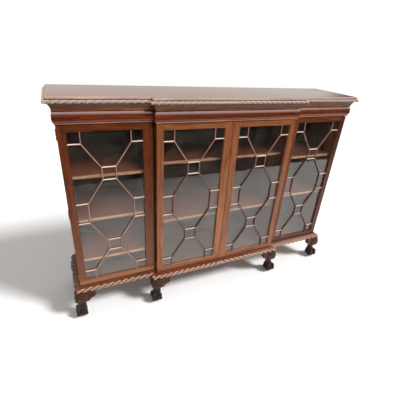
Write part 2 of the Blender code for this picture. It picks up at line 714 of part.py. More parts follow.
def leg_object():
    """The knee, ankle and claw's root: rounded squares bridged into one skin."""
    bm = bmesh.new()
    rings = []
    for height_share, middle_share, half_share, squareness in LEG_SHARES:
        middle = KNEE_SIZE * middle_share
        half = KNEE_SIZE * half_share
        ring = []
        for index in range(LEG_SIDES):
            angle = 2 * math.pi * index / LEG_SIDES
            cosine = math.cos(angle)
            sine = math.sin(angle)
            reach = (abs(cosine) ** squareness + abs(sine) ** squareness) ** (-1 / squareness)
            x = middle + half * reach * cosine
            y = middle + half * reach * sine
            ring.append(bm.verts.new((x, y, FOOT_HEIGHT * height_share)))
        rings.append(ring)
    for upper, lower in zip(rings, rings[1:]):
        for index in range(LEG_SIDES):
            following = (index + 1) % LEG_SIDES
            bm.faces.new((upper[index], lower[index], lower[following], upper[following]))
    bm.faces.new(rings[0])
    bm.faces.new(rings[-1])
    return place("leg", mesh_from(bm, "leg"), (0.0, 0.0, 0.0), None, cutters)


def ball_object():
    """The ball, cut flat where it meets the floor."""
    bm = bmesh.new()
    bmesh.ops.create_uvsphere(bm, u_segments=BALL_SEGMENTS, v_segments=BALL_RINGS, radius=BALL_RADIUS)
    lift = Vector((FOOT_INSET, FOOT_INSET, BALL_RADIUS - BALL_FLAT))
    bmesh.ops.translate(bm, verts=bm.verts, vec=lift)
    geometry = bm.verts[:] + bm.edges[:] + bm.faces[:]
    down = (0.0, 0.0, -1.0)
    bmesh.ops.bisect_plane(bm, geom=geometry, plane_co=(0.0, 0.0, 0.0), plane_no=down, clear_outer=True)
    rim = [edge for edge in bm.edges if edge.is_boundary]
    bmesh.ops.edgeloop_fill(bm, edges=rim)
    return place("ball", mesh_from(bm, "ball"), (0.0, 0.0, 0.0), None, cutters)


def ear_object(name, along_x):
    """A bracket from the knee along one side of the base."""
    top = FOOT_HEIGHT - SEAT
    outline = [(EAR_LENGTH * length, top - EAR_DROP * drop) for length, drop in EAR_SHARES]
    mesh = outline_mesh(name, [outline], EAR_THICKNESS)
    middle = EAR_INSET + EAR_THICKNESS / 2
    ear = place(name, mesh, (0.0, middle, 0.0), None, cutters)
    ear.rotation_euler = (math.radians(90), 0.0, 0.0)
    if not along_x:
        ear.location = (middle, 0.0, 0.0)
        ear.rotation_euler = (math.radians(90), 0.0, math.radians(90))
    return ear


def foot_mesh():
    """One foot, its reference at the base moulding's corner, its ears along +X and +Y."""
    leg = leg_object()
    others = [ball_object(), ear_object("front_ear", True), ear_object("side_ear", False)]
    for other in others:
        boolean(leg, other, "UNION")
    mesh = evaluated_mesh(leg, "foot")
    remove(leg, *others)
    mesh.shade_smooth()
    mesh.set_sharp_from_angle(angle=math.radians(40))
    mesh.materials.clear()
    mesh.materials.append(foot_wood)
    return mesh


def turned_mesh(mesh, side, end):
    """The mesh mirrored in X and Y as asked, its faces still pointing out."""
    bm = bmesh.new()
    bm.from_mesh(mesh)
    bmesh.ops.transform(bm, matrix=Matrix.Diagonal((side, end, 1.0, 1.0)), verts=bm.verts)
    if side * end < 0:
        bmesh.ops.reverse_faces(bm, faces=bm.faces)
    turned = bpy.data.meshes.new("foot")
    bm.to_mesh(turned)
    bm.free()
    turned.materials.append(foot_wood)
    return turned


def feet():
    foot = foot_mesh()
    wing_x = BODY_X + BASE_PROJECTION
    centre_x = CENTRE_X + BASE_PROJECTION
    wing_y = WING_FACE_Y - BASE_PROJECTION
    centre_y = CENTRE_FACE_Y - BASE_PROJECTION
    rear_y = BACK_Y + FOOT_INSET - BALL_RADIUS
    for side_name, side in (("left", -1), ("right", 1)):
        for place_name, x, y, end in (
            ("front", wing_x, wing_y, 1),
            ("centre", centre_x, centre_y, 1),
            ("rear", wing_x, rear_y, -1),
        ):
            mesh = turned_mesh(foot, -side, end)
            place(f"{place_name}_{side_name}_foot", mesh, (side * x, y, 0.0), foot_wood)


clear_scene()
cabinet = new_collection("breakfront_display_cabinet")
cutters = new_collection("cutters")
wood = new_material("polished mahogany", (0.20, 0.052, 0.020), 0.28)
shelf_wood = new_material("planed shelf board", (0.42, 0.22, 0.11), 0.5)
back_wood = new_material("stained back boards", (0.045, 0.022, 0.014), 0.6)
foot_wood = new_material("carved dark mahogany", (0.06, 0.028, 0.014), 0.4)
glass = new_material("window glass", (0.8, 0.85, 0.83), 0.02, transmission=1.0)
brass = new_material("aged brass", (0.36, 0.24, 0.10), 0.35, metallic=1.0)

moulded_board("base_board", base_profile(), BACK_Y, wood)
moulded_board("top_board", top_profile(), TOP_BACK_Y, wood)
cornice()
case_top()
back_panel()
walls = [end_panel("left", -1), division("left", -1), division("right", 1), end_panel("right", 1)]
shelves(*walls)
door_leaf, case_leaf = leaf_pair()
doors(*walls)
feet()
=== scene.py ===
"""Breakfront display cabinet: the looks of its pieces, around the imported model.

Polished mahogany case and doors, gadrooned top and base, moulded glazing bars, carved
ball-and-claw feet. +X runs along the front to the right, -Y is the front, +Z is up, in metres.
"""

import math

import bmesh
import bpy
from mathutils import Matrix, Vector


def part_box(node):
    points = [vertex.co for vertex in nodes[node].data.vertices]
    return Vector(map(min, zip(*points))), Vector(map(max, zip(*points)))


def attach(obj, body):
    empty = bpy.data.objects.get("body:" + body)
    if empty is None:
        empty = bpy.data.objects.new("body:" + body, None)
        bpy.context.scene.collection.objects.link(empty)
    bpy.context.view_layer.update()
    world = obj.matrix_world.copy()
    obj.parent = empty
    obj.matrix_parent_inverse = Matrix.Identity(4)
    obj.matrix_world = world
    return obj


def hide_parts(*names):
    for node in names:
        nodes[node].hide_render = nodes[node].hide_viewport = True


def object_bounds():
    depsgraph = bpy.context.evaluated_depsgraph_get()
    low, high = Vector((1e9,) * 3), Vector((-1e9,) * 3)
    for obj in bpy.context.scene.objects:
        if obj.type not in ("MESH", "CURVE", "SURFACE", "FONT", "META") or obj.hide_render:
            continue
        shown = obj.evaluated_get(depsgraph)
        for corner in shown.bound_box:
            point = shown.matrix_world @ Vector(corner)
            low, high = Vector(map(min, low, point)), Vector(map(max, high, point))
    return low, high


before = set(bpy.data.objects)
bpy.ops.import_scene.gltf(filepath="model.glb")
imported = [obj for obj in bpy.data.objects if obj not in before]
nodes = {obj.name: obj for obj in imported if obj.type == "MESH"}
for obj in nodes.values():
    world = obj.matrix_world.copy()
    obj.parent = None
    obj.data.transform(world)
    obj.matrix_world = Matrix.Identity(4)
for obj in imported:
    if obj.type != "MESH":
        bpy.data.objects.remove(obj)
cad_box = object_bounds()

DOORS = ("left_wing_door", "left_centre_door", "right_centre_door", "right_wing_door")
WELD = 0.00001
ARC_STEPS = 6
# Faces that turn less than this, in degrees, are one face
FLAT_ANGLE = 1.0

# Places of the case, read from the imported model
BODY_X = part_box("right_end_panel")[1].x
BACK_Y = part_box("right_end_panel")[1].y
CENTRE_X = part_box("right_centre_door_frame")[1].x
WING_FACE_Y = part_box("right_wing_door_frame")[0].y
CENTRE_FACE_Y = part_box("right_centre_door_frame")[0].y
TOP_BACK_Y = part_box("top_board")[1].y
TOP_BOTTOM_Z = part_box("top_board")[0].z
TOP_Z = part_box("top_board")[1].z
BASE_BOTTOM_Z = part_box("base_board")[0].z
BASE_TOP_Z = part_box("base_board")[1].z
CORNICE_BOTTOM_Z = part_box("cornice_moulding")[0].z
CORNICE_TOP_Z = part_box("cornice_moulding")[1].z

# Top edge
EDGE_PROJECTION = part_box("top_board")[1].x - BODY_X
EDGE_LIP = 0.020
EDGE_ROLL_RADIUS = 0.0085
EDGE_SHOULDER = 0.0095
EDGE_FLAT_INSET = 0.021
EDGE_QUIRK_INSET = 0.0125
EDGE_CARVING_DEPTH = 0.0058
EDGE_PITCH = 0.0344
EDGE_LEAN = -0.75
EDGE_STEP = 0.0010
EDGE_SIDES = 16

# Base moulding
BASE_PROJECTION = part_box("base_board")[1].x - BODY_X
BASE_ROLL_RADIUS = 0.016
BASE_ROLL_RISE = 0.013
BASE_QUIRK = 0.002
BASE_FILLET_DROP = 0.0035
BASE_BEAD_PROJECTION = 0.010
BASE_BEAD_HEIGHT = 0.005
BASE_CARVING_DEPTH = 0.0085
BASE_PITCH = 0.0405
BASE_LEAN = -0.85
BASE_STEP = 0.0015
BASE_SIDES = 18
BASE_END_MARGIN = 0.022
CORE_LAP = 0.0015

# The carved roll's shape, one step a row: its name, what is done, and with which values.
# "share" runs from 0 to 1 over one pitch, "rise" from 0 at the roll's foot to 1 at its top.
ROLL_STEPS = (
    ("rise", "DIVIDE", "around", "Last Side"),
    ("turned", "SUBTRACT", "rise", 0.5),
    ("angle", "MULTIPLY", "turned", math.pi),
    ("outwards", "COSINE", "angle"),
    ("upwards", "SINE", "angle"),
    ("both mitres", "ADD", "Start Mitre", "End Mitre"),
    ("run", "MULTIPLY_ADD", "both mitres", "Reach", "Length"),
    ("distance", "MULTIPLY_ADD", "along", "run", 0.0),
    ("pitches", "DIVIDE", "distance", "Pitch"),
    ("slanted", "MULTIPLY_ADD", "turned", "Lean", "pitches"),
    ("share", "FRACT", "slanted"),
    ("from lobe", "SUBTRACT", "share", "Lobe Half Share"),
    ("lobe side", "DIVIDE", "from lobe", "Lobe Half Share"),
    ("lobe square", "POWER", "lobe side", 2.0),
    ("reed middle", "SUBTRACT", 1.0, "Reed Half Share"),
    ("from reed", "SUBTRACT", "share", "reed middle"),
    ("reed side", "DIVIDE", "from reed", "Reed Half Share"),
    ("reed square", "POWER", "reed side", 2.0),
    ("past end", "SUBTRACT", "rise", "Lobe End"),
    ("end room", "SUBTRACT", 1.0, "Lobe End"),
    ("end side", "DIVIDE", "past end", "end room"),
    ("end side up", "MAXIMUM", "end side", 0.0),
    ("end square", "POWER", "end side up", 2.0),
    ("lobe left", "SUBTRACT", 1.0, "lobe square"),
    ("lobe dome", "SUBTRACT", "lobe left", "end square"),
    ("lobe floor", "MAXIMUM", "lobe dome", 0.0),
    ("lobe height", "SQRT", "lobe floor"),
    ("reed left", "SUBTRACT", 1.0, "reed square"),
    ("reed floor", "MAXIMUM", "reed left", 0.0),
    ("reed round", "SQRT", "reed floor"),
    ("reed height", "MULTIPLY", "reed round", "Reed Height"),
    ("height", "MAXIMUM", "lobe height", "reed height"),
    ("missing", "SUBTRACT", 1.0, "height"),
    ("cut", "MULTIPLY", "missing", "Carving Depth"),
    ("radius", "SUBTRACT", "Roll Radius", "cut"),
    ("offset", "MULTIPLY_ADD", "radius", "outwards", "Roll Offset"),
    ("tall radius", "MULTIPLY", "radius", "Rise Share"),
    ("level", "MULTIPLY_ADD", "tall radius", "upwards", "Roll Height"),
    ("mitred start", "MULTIPLY", "Start Mitre", "offset"),
    ("mitred run", "MULTIPLY_ADD", "both mitres", "offset", "Length"),
    ("forward", "MULTIPLY", "along", "mitred run"),
    ("place", "SUBTRACT", "forward", "mitred start"),
)
ROLL_VECTORS = ("Start", "Along", "Out", "Up")
ROLL_SIZES = (
    "Length",
    "Start Mitre",
    "End Mitre",
    "Reach",
    "Roll Offset",
    "Roll Height",
    "Roll Radius",
    "Rise Share",
    "Carving Depth",
    "Pitch",
    "Lean",
    "Lobe Half Share",
    "Reed Half Share",
    "Reed Height",
    "Lobe End",
    "Last Side",
)

# Frieze and cove
FRIEZE_HEIGHT = 0.0593
FRIEZE_BULGE = 0.0105
FRIEZE_TOP_PROJECTION = 0.0053
FRIEZE_BEAD_PROJECTION = 0.0045
FRIEZE_BEAD_HEIGHT = 0.0064
PANEL_REBATE = 0.009
CUSHION_SHARES = (
    (0.0, 0.20),
    (0.07, 0.58),
    (0.15, 0.84),
    (0.26, 0.96),
    (0.42, 1.0),
    (0.56, 1.0),
    (0.66, 0.95),
    (0.76, 0.83),
    (0.86, 0.62),
    (0.94, 0.38),
    (1.0, 0.10),
)
COVE_SHARES = ((0.0, 0.0), (0.25, 0.11), (0.5, 0.29), (0.75, 0.57), (0.92, 0.84), (1.0, 1.0))
CURVE_STEPS = 4

# Doors
TOP_RAIL = 0.030
BOTTOM_RAIL = 0.028
WING_HINGE_STILE = 0.036
WING_LOCK_STILE = 0.050
CENTRE_HINGE_STILE = 0.035
MEETING_STILE = 0.0435
ASTRAGAL_WIDTH = 0.007
ASTRAGAL_RIM = 0.003
BOARD_EDGE = 0.0007
# Edges that turn by more than this, in radians, are a board's corners
BOARD_CORNER_ANGLE = 1.0
# How far apart in the tree the boards of a door, and of one door and the next, were cut
BOARD_SHIFT = Vector((0.53, 0.0, 2.1))
DOOR_SHIFT = Vector((0.37, 0.21, 1.3))
ACROSS_SHARES = (0.0, 0.168, 0.403, 0.597, 0.832, 1.0)
UP_SHARES = (0.0, 0.070, 0.2115, 0.2895, 0.433, 0.567, 0.7105, 0.7885, 0.930, 1.0)
# An astragal's section from its foot to its middle: inset and depth, as shares of its half width
# and of its depth. Past its quirk come the sides, and inside the crest's share the crest
ASTRAGAL_SHARES = ((1.0, 0.0), (1.0, 0.42), (0.86, 0.50), (0.70, 0.80), (0.58, 0.93), (0.30, 0.99))
ASTRAGAL_CREST_SHARE = 0.58
ASTRAGAL_QUIRK = 1
# A side of a pane that runs to the right by more than this is its bottom, where the bar faces up
BOTTOM_RUN = 0.9
# A face of a moulding belongs to an end where its normal points aside by more than this
END_NORMAL = 0.05

# Back boards
BACK_BOARDS = 9
BACK_BOARD_EDGE = 0.0012
BACK_BOARD_SHIFT = 3.1

# Feet, from the corner of the base moulding
FOOT_INSET = 0.0245
BALL_RADIUS = 0.0310
BALL_HEIGHT = 0.0305
KNEE_SIZE = 0.072
EAR_LENGTH = 0.112
EAR_THICKNESS = 0.020
EAR_INSET = 0.004
EAR_DROP = 0.068
FOOT_VOXEL = 0.0013
FOOT_SMOOTHING = 3
LEG_SIDES = 40
LEG_STEPS = 4
TUBE_SIDES = 14
TUBE_STEPS = 3
# A way that no talon and no scroll runs along
TUBE_UP = Vector((0.31, -0.27, 0.91))
BALL_SHARE = 0.97
BALL_SHAPE = {"u_segments": 32, "v_segments": 20, "radius": BALL_RADIUS * BALL_SHARE}
# Half width of the ball with its claws, and how far they stand out past the corner
CLAW_HALF_WIDTH = 0.0335
CLAW_REACH = CLAW_HALF_WIDTH - FOOT_INSET
TALON_AZIMUTHS = (45, 135, 225, 315)
SCROLL_RADIUS = 0.0046
SCROLL_INSET = EAR_INSET + SCROLL_RADIUS * 0.6
LEAF_DEPTH = 0.0026
LEAF_TOP = 0.004
LEAF_TOP_FADE = 0.008
LEAF_FOOT = 0.075
LEAF_FOOT_FADE = 0.015
LEAF_FINGERS = 7.0
LEAF_SWEEP = 22.0
LEAF_FULLNESS = 0.7
LEAF_GROUND = 0.55
# The leaf's ribs turn about a place above and outside the corner
LEAF_ROOT_RISE = 0.006
LEAF_ROOT_OUTSET = 0.004

# The leg's sections from the top down: height as a share of the foot's height, then middle and
# half width as shares of the knee's size, and how square the section is (2 is round)
LEG_SHARES = (
    (0.998, 0.47, 0.455, 6.0),
    (0.912, 0.47, 0.510, 5.0),
    (0.800, 0.455, 0.540, 4.5),
    (0.707, 0.455, 0.532, 4.2),
    (0.650, 0.465, 0.500, 3.8),
    (0.610, 0.485, 0.420, 3.0),
    (0.570, 0.490, 0.330, 2.4),
    (0.520, 0.475, 0.300, 2.2),
    (0.450, 0.45, 0.320, 2.1),
    (0.350, 0.42, 0.36, 2.0),
    (0.250, 0.39, 0.34, 2.0),
    (0.190, 0.37, 0.30, 2.0),
)
# The ear's outline: length from the corner as a share of its length, drop as a share of its drop
EAR_SHARES = (
    (0.30, 0.0),
    (0.30, 1.0),
    (0.56, 1.0),
    (0.68, 0.87),
    (0.76, 0.70),
    (0.88, 0.64),
    (0.96, 0.52),
    (1.0, 0.36),
    (0.97, 0.20),
    (0.99, 0.0),
)
# A talon's way down the ball: turn from the top in degrees, distance from the ball's middle and
# thickness of the toe, as shares of the ball's radius
TALON_SHARES = (
    (16, 1.20, 0.32),
    (34, 1.20, 0.35),
    (52, 1.19, 0.40),
    (66, 1.12, 0.30),
    (80, 1.08, 0.27),
    (94, 1.10, 0.32),
    (108, 1.03, 0.24),
    (122, 0.97, 0.18),
    (138, 0.94, 0.11),
)
# The scroll's way along the ear, as the outline's shares, and its thickness as shares of its radius
EAR_SCROLL_SHARES = (
    (0.50, 0.92),
    (0.62, 0.90),
    (0.70, 0.74),
    (0.78, 0.62),
    (0.88, 0.58),
    (0.95, 0.44),
    (0.94, 0.28),
    (0.87, 0.24),
    (0.82, 0.33),
    (0.86, 0.42),
)
SCROLL_THICKNESS_SHARES = (0.7, 0.9, 1.0, 1.0, 1.0, 0.95, 0.9, 0.8, 0.7, 0.75)

# Here and below, four numbers turn a measure into a strength: the measure at the start and at the
# end of the change, and the strength at both.
# Patterns of the wood, in cells per metre across, through and along the board: ribbons 12 mm wide
# and 385 mm long, grain 1.5 mm wide and 63 mm long, and pores 0.9 mm wide and 14 mm long, which is
# coarser than real ones, so that they show
RIBBON_SCALE = (85.0, 85.0, 2.6)
GRAIN_SCALE = (650.0, 650.0, 16.0)
PORE_SCALE = (1100.0, 1100.0, 70.0)
PORES = (0.60, 0.70, 0.0, 0.5)
PORE_DEPTH = 0.0003
# Clouds 450 mm wide bend the grain by up to 50 mm and shade it
CLOUD_SCALE = 2.2
CLOUDS = (0.35, 0.65, 0.86, 1.12)
GRAIN_BEND = (0.05, 0.05, 0.0)
# How grain that runs up is turned to lie along an axis
GRAIN_TURNS = {"x": (0.0, math.radians(-90), 0.0), "z": (0.0, 0.0, 0.0)}
TONE_STOPS = (0.36, 0.5, 0.66)
# Polish is smoother on the dark grain than on the light, and the coat over it smoother still
ROUGHNESS_SPREAD = (0.8, 1.25)
COAT_ROUGHNESS = 0.12
WOOD_IOR = 1.5
BLEND_FULL = 0.85
# The hollows' colour: dirt and painted shade
DIRT_AND_SHADE = "140a06"
BRASS_TONES = ((0.35, "4a3620"), (0.55, "8a6a38"), (0.7, "b08c50"))
BRASS_ROUGHNESS = (0.5, 0.28)
# Stains 8 mm wide, and filing lines 1.1 mm wide and 11 mm long, which is coarser than real ones
STAIN_SCALE = 120.0
FILING_SCALE = (900.0, 900.0, 90.0)
FILING_DEPTH = 0.0001
# Waves 110 mm wide and patches of dust 70 mm wide
WAVE_SCALE = 9.0
WAVE_DEPTH = 0.002
DUST_SCALE = 14.0
DUST_FILM = (0.35, 0.75, 0.0, 0.02)
# Above window glass's usual 1.52, for stronger reflections
GLASS_IOR = 1.62

# Studio. A way is a direction away from the cabinet
FLOOR_CORNERS = ((-6.0, -2.0), (6.0, -2.0), (6.0, 8.0), (-6.0, 8.0))
FLOOR_MOTTLE_SCALE = 3.0
FLOOR_TONES = (0.94, 0.98)
FLOOR_FADE_WAY = (-0.376, -0.926, 0.0)
FLOOR_FADE = (1.0, 1.9, 1.0, 0.25)
LIGHT_STRENGTH = 3.6
FRONT_LIGHT = (17, (-0.7, 2.9, -2.9))
SIDE_LIGHT = (14, (-3.06, 2.25, -3.4))
ROOM_COLOUR = "f4f1ee"
# The room is dark in front and to the right, and pale behind and to the left
PALE_WALL_WAY = (-0.711, 0.703, 0.0)
PALE_WALL = (-0.10, -0.02, 0.08, 0.7)
WALL_ON_MATT = 0.3
CEILING = (0.35, 0.75, 0.0, 1.0)
CEILING_STRENGTH = 1.3
CEILING_ON_MATT = 0.65
SOFT_BOX_WAY = (0.34, -0.58, 0.74)
SOFT_BOX = (0.72, 0.92, 0.0, 3.8)
HORIZON = (-0.02, 0.02, 0.06, 1.0)

# Camera, fitted to the photograph
CAMERA_PLACE = (-0.8509, -1.59215, 1.4957)
CAMERA_TURN = ((0.9086, 0.137, -0.3947), (-0.412, 0.4498, -0.7924), (0.069, 0.8826, 0.4651))
CAMERA_SENSOR = 36.0
CAMERA_LENS = 27.16
CAMERA_SHIFT = (-0.0103, 0.00805)


def linear(code):
    """An sRGB hex colour as linear red, green, blue and alpha."""
    values = [int(code[place : place + 2], 16) / 255 for place in (0, 2, 4)]
    return (*[v / 12.92 if v <= 0.04045 else ((v + 0.055) / 1.055) ** 2.4 for v in values], 1.0)


def add(tree, kind, links=None, stops=(), **settings):
    """Adds a node with its settings, and a colour ramp's stops as (position, hex colour) pairs.

    Links give each input a value, the socket that feeds it or a node whose first socket does.
    """
    made = tree.nodes.new(kind)
    for name, value in settings.items():
        setattr(made, name, value)
    for key, value in (links or {}).items():
        if isinstance(value, bpy.types.Node):
            value = value.outputs[0]
        if isinstance(value, bpy.types.NodeSocket):
            tree.links.new(value, made.inputs[key])
        else:
            made.inputs[key].default_value = value
    for index, (position, code) in enumerate(stops):
        elements = made.color_ramp.elements
        stop = elements[index] if index < len(elements) else elements.new(position)
        stop.position = position
        stop.color = linear(code)
    return made


def blank_material(name):
    material = bpy.data.materials.new(name)
    material.use_nodes = True
    material.node_tree.nodes.clear()
    return material, material.node_tree


def wood(
    name, colours, along="board", roughness=0.36, coat=0.25, gloss=0.35, wear_and_shade=None, blends=()
):
    """Mahogany, sawn and planed, its grain along one axis or along each board's own length.

    It gives the eye a ribbon figure, fine grain and open pores, and its coat is the polish.
    Colours go from the darkest grain to the lightest. A blend is a colour, an axis, and the places
    on it where the colour starts and is full. Wear and shade is the colour of the crests, rubbed
    and with a painted highlight, the curvatures where it starts and is full, and those where the
    hollows' dirt and painted shade is full and starts.
    """
    material, tree = blank_material(name)
    object_place = add(tree, "ShaderNodeTexCoord").outputs["Object"]
    if along == "board":
        place = add(tree, "ShaderNodeAttribute", attribute_name="grain").outputs["Vector"]
    else:
        turned = {"Vector": object_place, "Rotation": GRAIN_TURNS[along]}
        place = add(tree, "ShaderNodeMapping", turned).outputs[0]
    drift = add(tree, "ShaderNodeTexNoise", {"Vector": place, "Scale": CLOUD_SCALE, "Detail": 2.0})
    wander = {0: drift.outputs["Color"], 1: GRAIN_BEND}
    bend = add(tree, "ShaderNodeVectorMath", wander, operation="MULTIPLY")
    bent = add(tree, "ShaderNodeVectorMath", {0: place, 1: bend}, operation="ADD")
    wide = add(tree, "ShaderNodeMapping", {"Vector": bent, "Scale": RIBBON_SCALE})
    fine = add(tree, "ShaderNodeMapping", {"Vector": bent, "Scale": GRAIN_SCALE})
    pore = add(tree, "ShaderNodeMapping", {"Vector": bent, "Scale": PORE_SCALE})
    noise = {"Scale": 1.0, "Roughness": 0.6}
    ribbon = add(tree, "ShaderNodeTexNoise", {"Vector": wide, "Detail": 3.0, **noise})
    streaks = add(tree, "ShaderNodeTexNoise", {"Vector": fine, "Detail": 2.0, **noise})
    flecks = add(tree, "ShaderNodeTexNoise", {"Vector": pore, "Scale": 1.0, "Detail": 1.0})
    figured = add(tree, "ShaderNodeMix", {0: 0.5, 2: streaks, 3: ribbon})
    tone = add(tree, "ShaderNodeValToRGB", {"Fac": figured}, stops=zip(TONE_STOPS, colours))
    cloud = add(tree, "ShaderNodeMapRange", dict(enumerate((drift, *CLOUDS))))
    shaded = add(tree, "ShaderNodeVectorMath", {0: tone, 1: cloud}, operation="MULTIPLY")
    pores = add(tree, "ShaderNodeMapRange", dict(enumerate((flecks, *PORES))))
    layers = [(pores, colours[0])]
    for code, axis, start, end in blends:
        apart = add(tree, "ShaderNodeSeparateXYZ", {0: object_place}).outputs[axis]
        share = {0: apart, 1: start, 2: end, 3: 0.0, 4: BLEND_FULL}
        layers.append((add(tree, "ShaderNodeMapRange", share), code))
    # Crests paled by wear and a painted highlight, hollows darkened by dirt and painted shade
    if wear_and_shade:
        crest_colour, crest_start, crest_full, dark_full, dark_start = wear_and_shade
        curve = add(tree, "ShaderNodeNewGeometry").outputs["Pointiness"]
        crest = {0: curve, 1: crest_start, 2: crest_full, 3: 0.0, 4: 1.0}
        hollow = {0: curve, 1: dark_full, 2: dark_start, 3: 1.0, 4: 0.0}
        layers.append((add(tree, "ShaderNodeMapRange", crest), crest_colour))
        layers.append((add(tree, "ShaderNodeMapRange", hollow), DIRT_AND_SHADE))
    colour = shaded.outputs[0]
    for share, code in layers:
        mix = {0: share, 6: colour, 7: linear(code)}
        colour = add(tree, "ShaderNodeMix", mix, data_type="RGBA").outputs[2]
    smoothest, roughest = (roughness * share for share in ROUGHNESS_SPREAD)
    rough = add(tree, "ShaderNodeMapRange", {0: streaks, 3: smoothest, 4: roughest})
    relief = add(tree, "ShaderNodeMath", {0: pores, 1: -1.0}, operation="MULTIPLY")
    bump = add(tree, "ShaderNodeBump", {"Strength": 0.35, "Distance": PORE_DEPTH, "Height": relief})
    shader = add(
        tree,
        "ShaderNodeBsdfPrincipled",
        {
            "Base Color": colour,
            "Roughness": rough,
            "Normal": bump,
            "IOR": WOOD_IOR,
            "Specular IOR Level": gloss,
            "Coat Weight": coat,
            "Coat Roughness": COAT_ROUGHNESS,
        },
    )
    add(tree, "ShaderNodeOutputMaterial", {0: shader})
    return material


def aged_brass(name):
    """Cast and filed brass: a yellow metal dulled to brown in patches, with faint filing lines."""
    material, tree = blank_material(name)
    place = add(tree, "ShaderNodeTexCoord").outputs["Object"]
    stain = add(tree, "ShaderNodeTexNoise", {"Vector": place, "Scale": STAIN_SCALE, "Detail": 4.0})
    lines = add(tree, "ShaderNodeMapping", {"Vector": place, "Scale": FILING_SCALE})
    filed = add(tree, "ShaderNodeTexNoise", {"Vector": lines, "Scale": 1.0, "Detail": 1.0})
    tone = add(tree, "ShaderNodeValToRGB", {"Fac": stain}, stops=BRASS_TONES)
    rough = {0: stain, 3: BRASS_ROUGHNESS[0], 4: BRASS_ROUGHNESS[1]}
    bump = {"Strength": 0.2, "Distance": FILING_DEPTH, "Height": filed}
    finish = {"Base Color": tone, "Metallic": 1.0}
    finish["Roughness"] = add(tree, "ShaderNodeMapRange", rough)
    finish["Normal"] = add(tree, "ShaderNodeBump", bump)
    shader = add(tree, "ShaderNodeBsdfPrincipled", finish)
    add(tree, "ShaderNodeOutputMaterial", {0: shader})
    return material


def window_glass(name):
    """Drawn sheet glass: clear and slightly wavy, with a thin film of dust in patches."""
    material, tree = blank_material(name)
    place = add(tree, "ShaderNodeTexCoord").outputs["Object"]
    wave = add(tree, "ShaderNodeTexNoise", {"Vector": place, "Scale": WAVE_SCALE, "Detail": 1.0})
    patches = {"Vector": place, "Scale": DUST_SCALE, "Detail": 5.0, "Roughness": 0.65}
    film = add(tree, "ShaderNodeTexNoise", patches)
    waves = {"Strength": 0.12, "Distance": WAVE_DEPTH, "Height": wave}
    bump = add(tree, "ShaderNodeBump", waves)
    sheet = {"Roughness": 0.0, "Transmission Weight": 1.0, "IOR": GLASS_IOR, "Normal": bump}
    pane = add(tree, "ShaderNodeBsdfPrincipled", {"Base Color": linear("f4f8f5"), **sheet})
    dust = add(tree, "ShaderNodeBsdfDiffuse", {0: linear("b8b2a6")})
    dusty = add(tree, "ShaderNodeMapRange", dict(enumerate((film, *DUST_FILM))))
    filmed = add(tree, "ShaderNodeMixShader", {0: dusty, 1: pane, 2: dust})
    clear = add(tree, "ShaderNodeBsdfTransparent", {0: linear("eef2ef")})
    shadow = add(tree, "ShaderNodeLightPath").outputs["Is Shadow Ray"]
    mixed = add(tree, "ShaderNodeMixShader", {0: shadow, 1: filmed, 2: clear})
    add(tree, "ShaderNodeOutputMaterial", {0: mixed})
    return material


def new_object(name, mesh):
    made = bpy.data.objects.new(name, mesh)
    bpy.context.scene.collection.objects.link(made)
    return made


def mesh_of(bm, name):
    """The shape as a mesh, after which the shape is gone."""
    mesh = bpy.data.meshes.new(name)
    bm.to_mesh(mesh)
    bm.free()
    return mesh


def smooth_piece(mesh, name, material, sharp_angle=35.0):
    """A mesh object of one material, smooth but for its sharp edges."""
    mesh.shade_smooth()
    mesh.set_sharp_from_angle(angle=math.radians(sharp_angle))
    mesh.materials.append(material)
    return new_object(name, mesh)


def finished(bm, name, material, sharp_angle=35.0):
    """Turns the shape into a mesh object, joined up and with its faces outwards."""
    bmesh.ops.remove_doubles(bm, verts=bm.verts, dist=WELD)
    bmesh.ops.recalc_face_normals(bm, faces=bm.faces)
    return smooth_piece(mesh_of(bm, name), name, material, sharp_angle)


def plain_mesh(source, name):
    """The object's evaluated shape as a mesh of its own."""
    bpy.context.view_layer.update()
    evaluated = source.evaluated_get(bpy.context.evaluated_depsgraph_get())
    mesh = bpy.data.meshes.new_from_object(evaluated)
    mesh.name = name
    return mesh


def put(piece, body, node):
    """The piece rides on its body and stands in for its CAD node, which is hidden."""
    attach(piece, body)
    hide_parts(node)


def front_corners(offset, back_y):
    """The line of the front and ends in plan, standing out from the case by an offset."""
    wing_y = WING_FACE_Y - offset
    centre_y = CENTRE_FACE_Y - offset
    half = [(BODY_X + offset, back_y), (BODY_X + offset, wing_y)]
    half += [(CENTRE_X + offset, wing_y), (CENTRE_X + offset, centre_y)]
    return [(-x, y) for x, y in half] + half[::-1]


def arc(centre, radius, start, end):
    """Points on a round stretch between two angles in degrees."""
    turns = [start + (end - start) * step / ARC_STEPS for step in range(ARC_STEPS + 1)]
    angles = [math.radians(turn) for turn in turns]
    return [(centre[0] + radius * math.cos(a), centre[1] + radius * math.sin(a)) for a in angles]


def smooth_line(points, steps):
    """More points along a line, on a curve through the given ones."""
    ends = [points[0], *points, points[-1]]
    line = []
    for stretch in zip(ends, ends[1:], ends[2:], ends[3:]):
        for step in range(steps):
            t = step / steps
            place = []
            for a, b, c, d in zip(*stretch):
                bend = (2 * a - 5 * b + 4 * c - d) * t**2
                twist = (3 * b - a - 3 * c + d) * t**3
                place.append(0.5 * (2 * b + (c - a) * t + bend + twist))
            line.append(tuple(place))
    return line + [tuple(points[-1])]


def set_grain(bm, rule):
    """Stores in each face corner its place across, through and along its board."""
    layer = bm.loops.layers.float_vector.new("grain")
    for face in bm.faces:
        for loop in face.loops:
            loop[layer] = rule(face, loop.vert.co)


def moulding_grain(face, co):
    """Grain along the front for what faces front or up, and along the ends for what faces aside."""
    if abs(face.normal.x) > max(abs(face.normal.y), END_NORMAL):
        return Vector((co.x, co.z, co.y))
    return Vector((co.y, co.z, co.x))


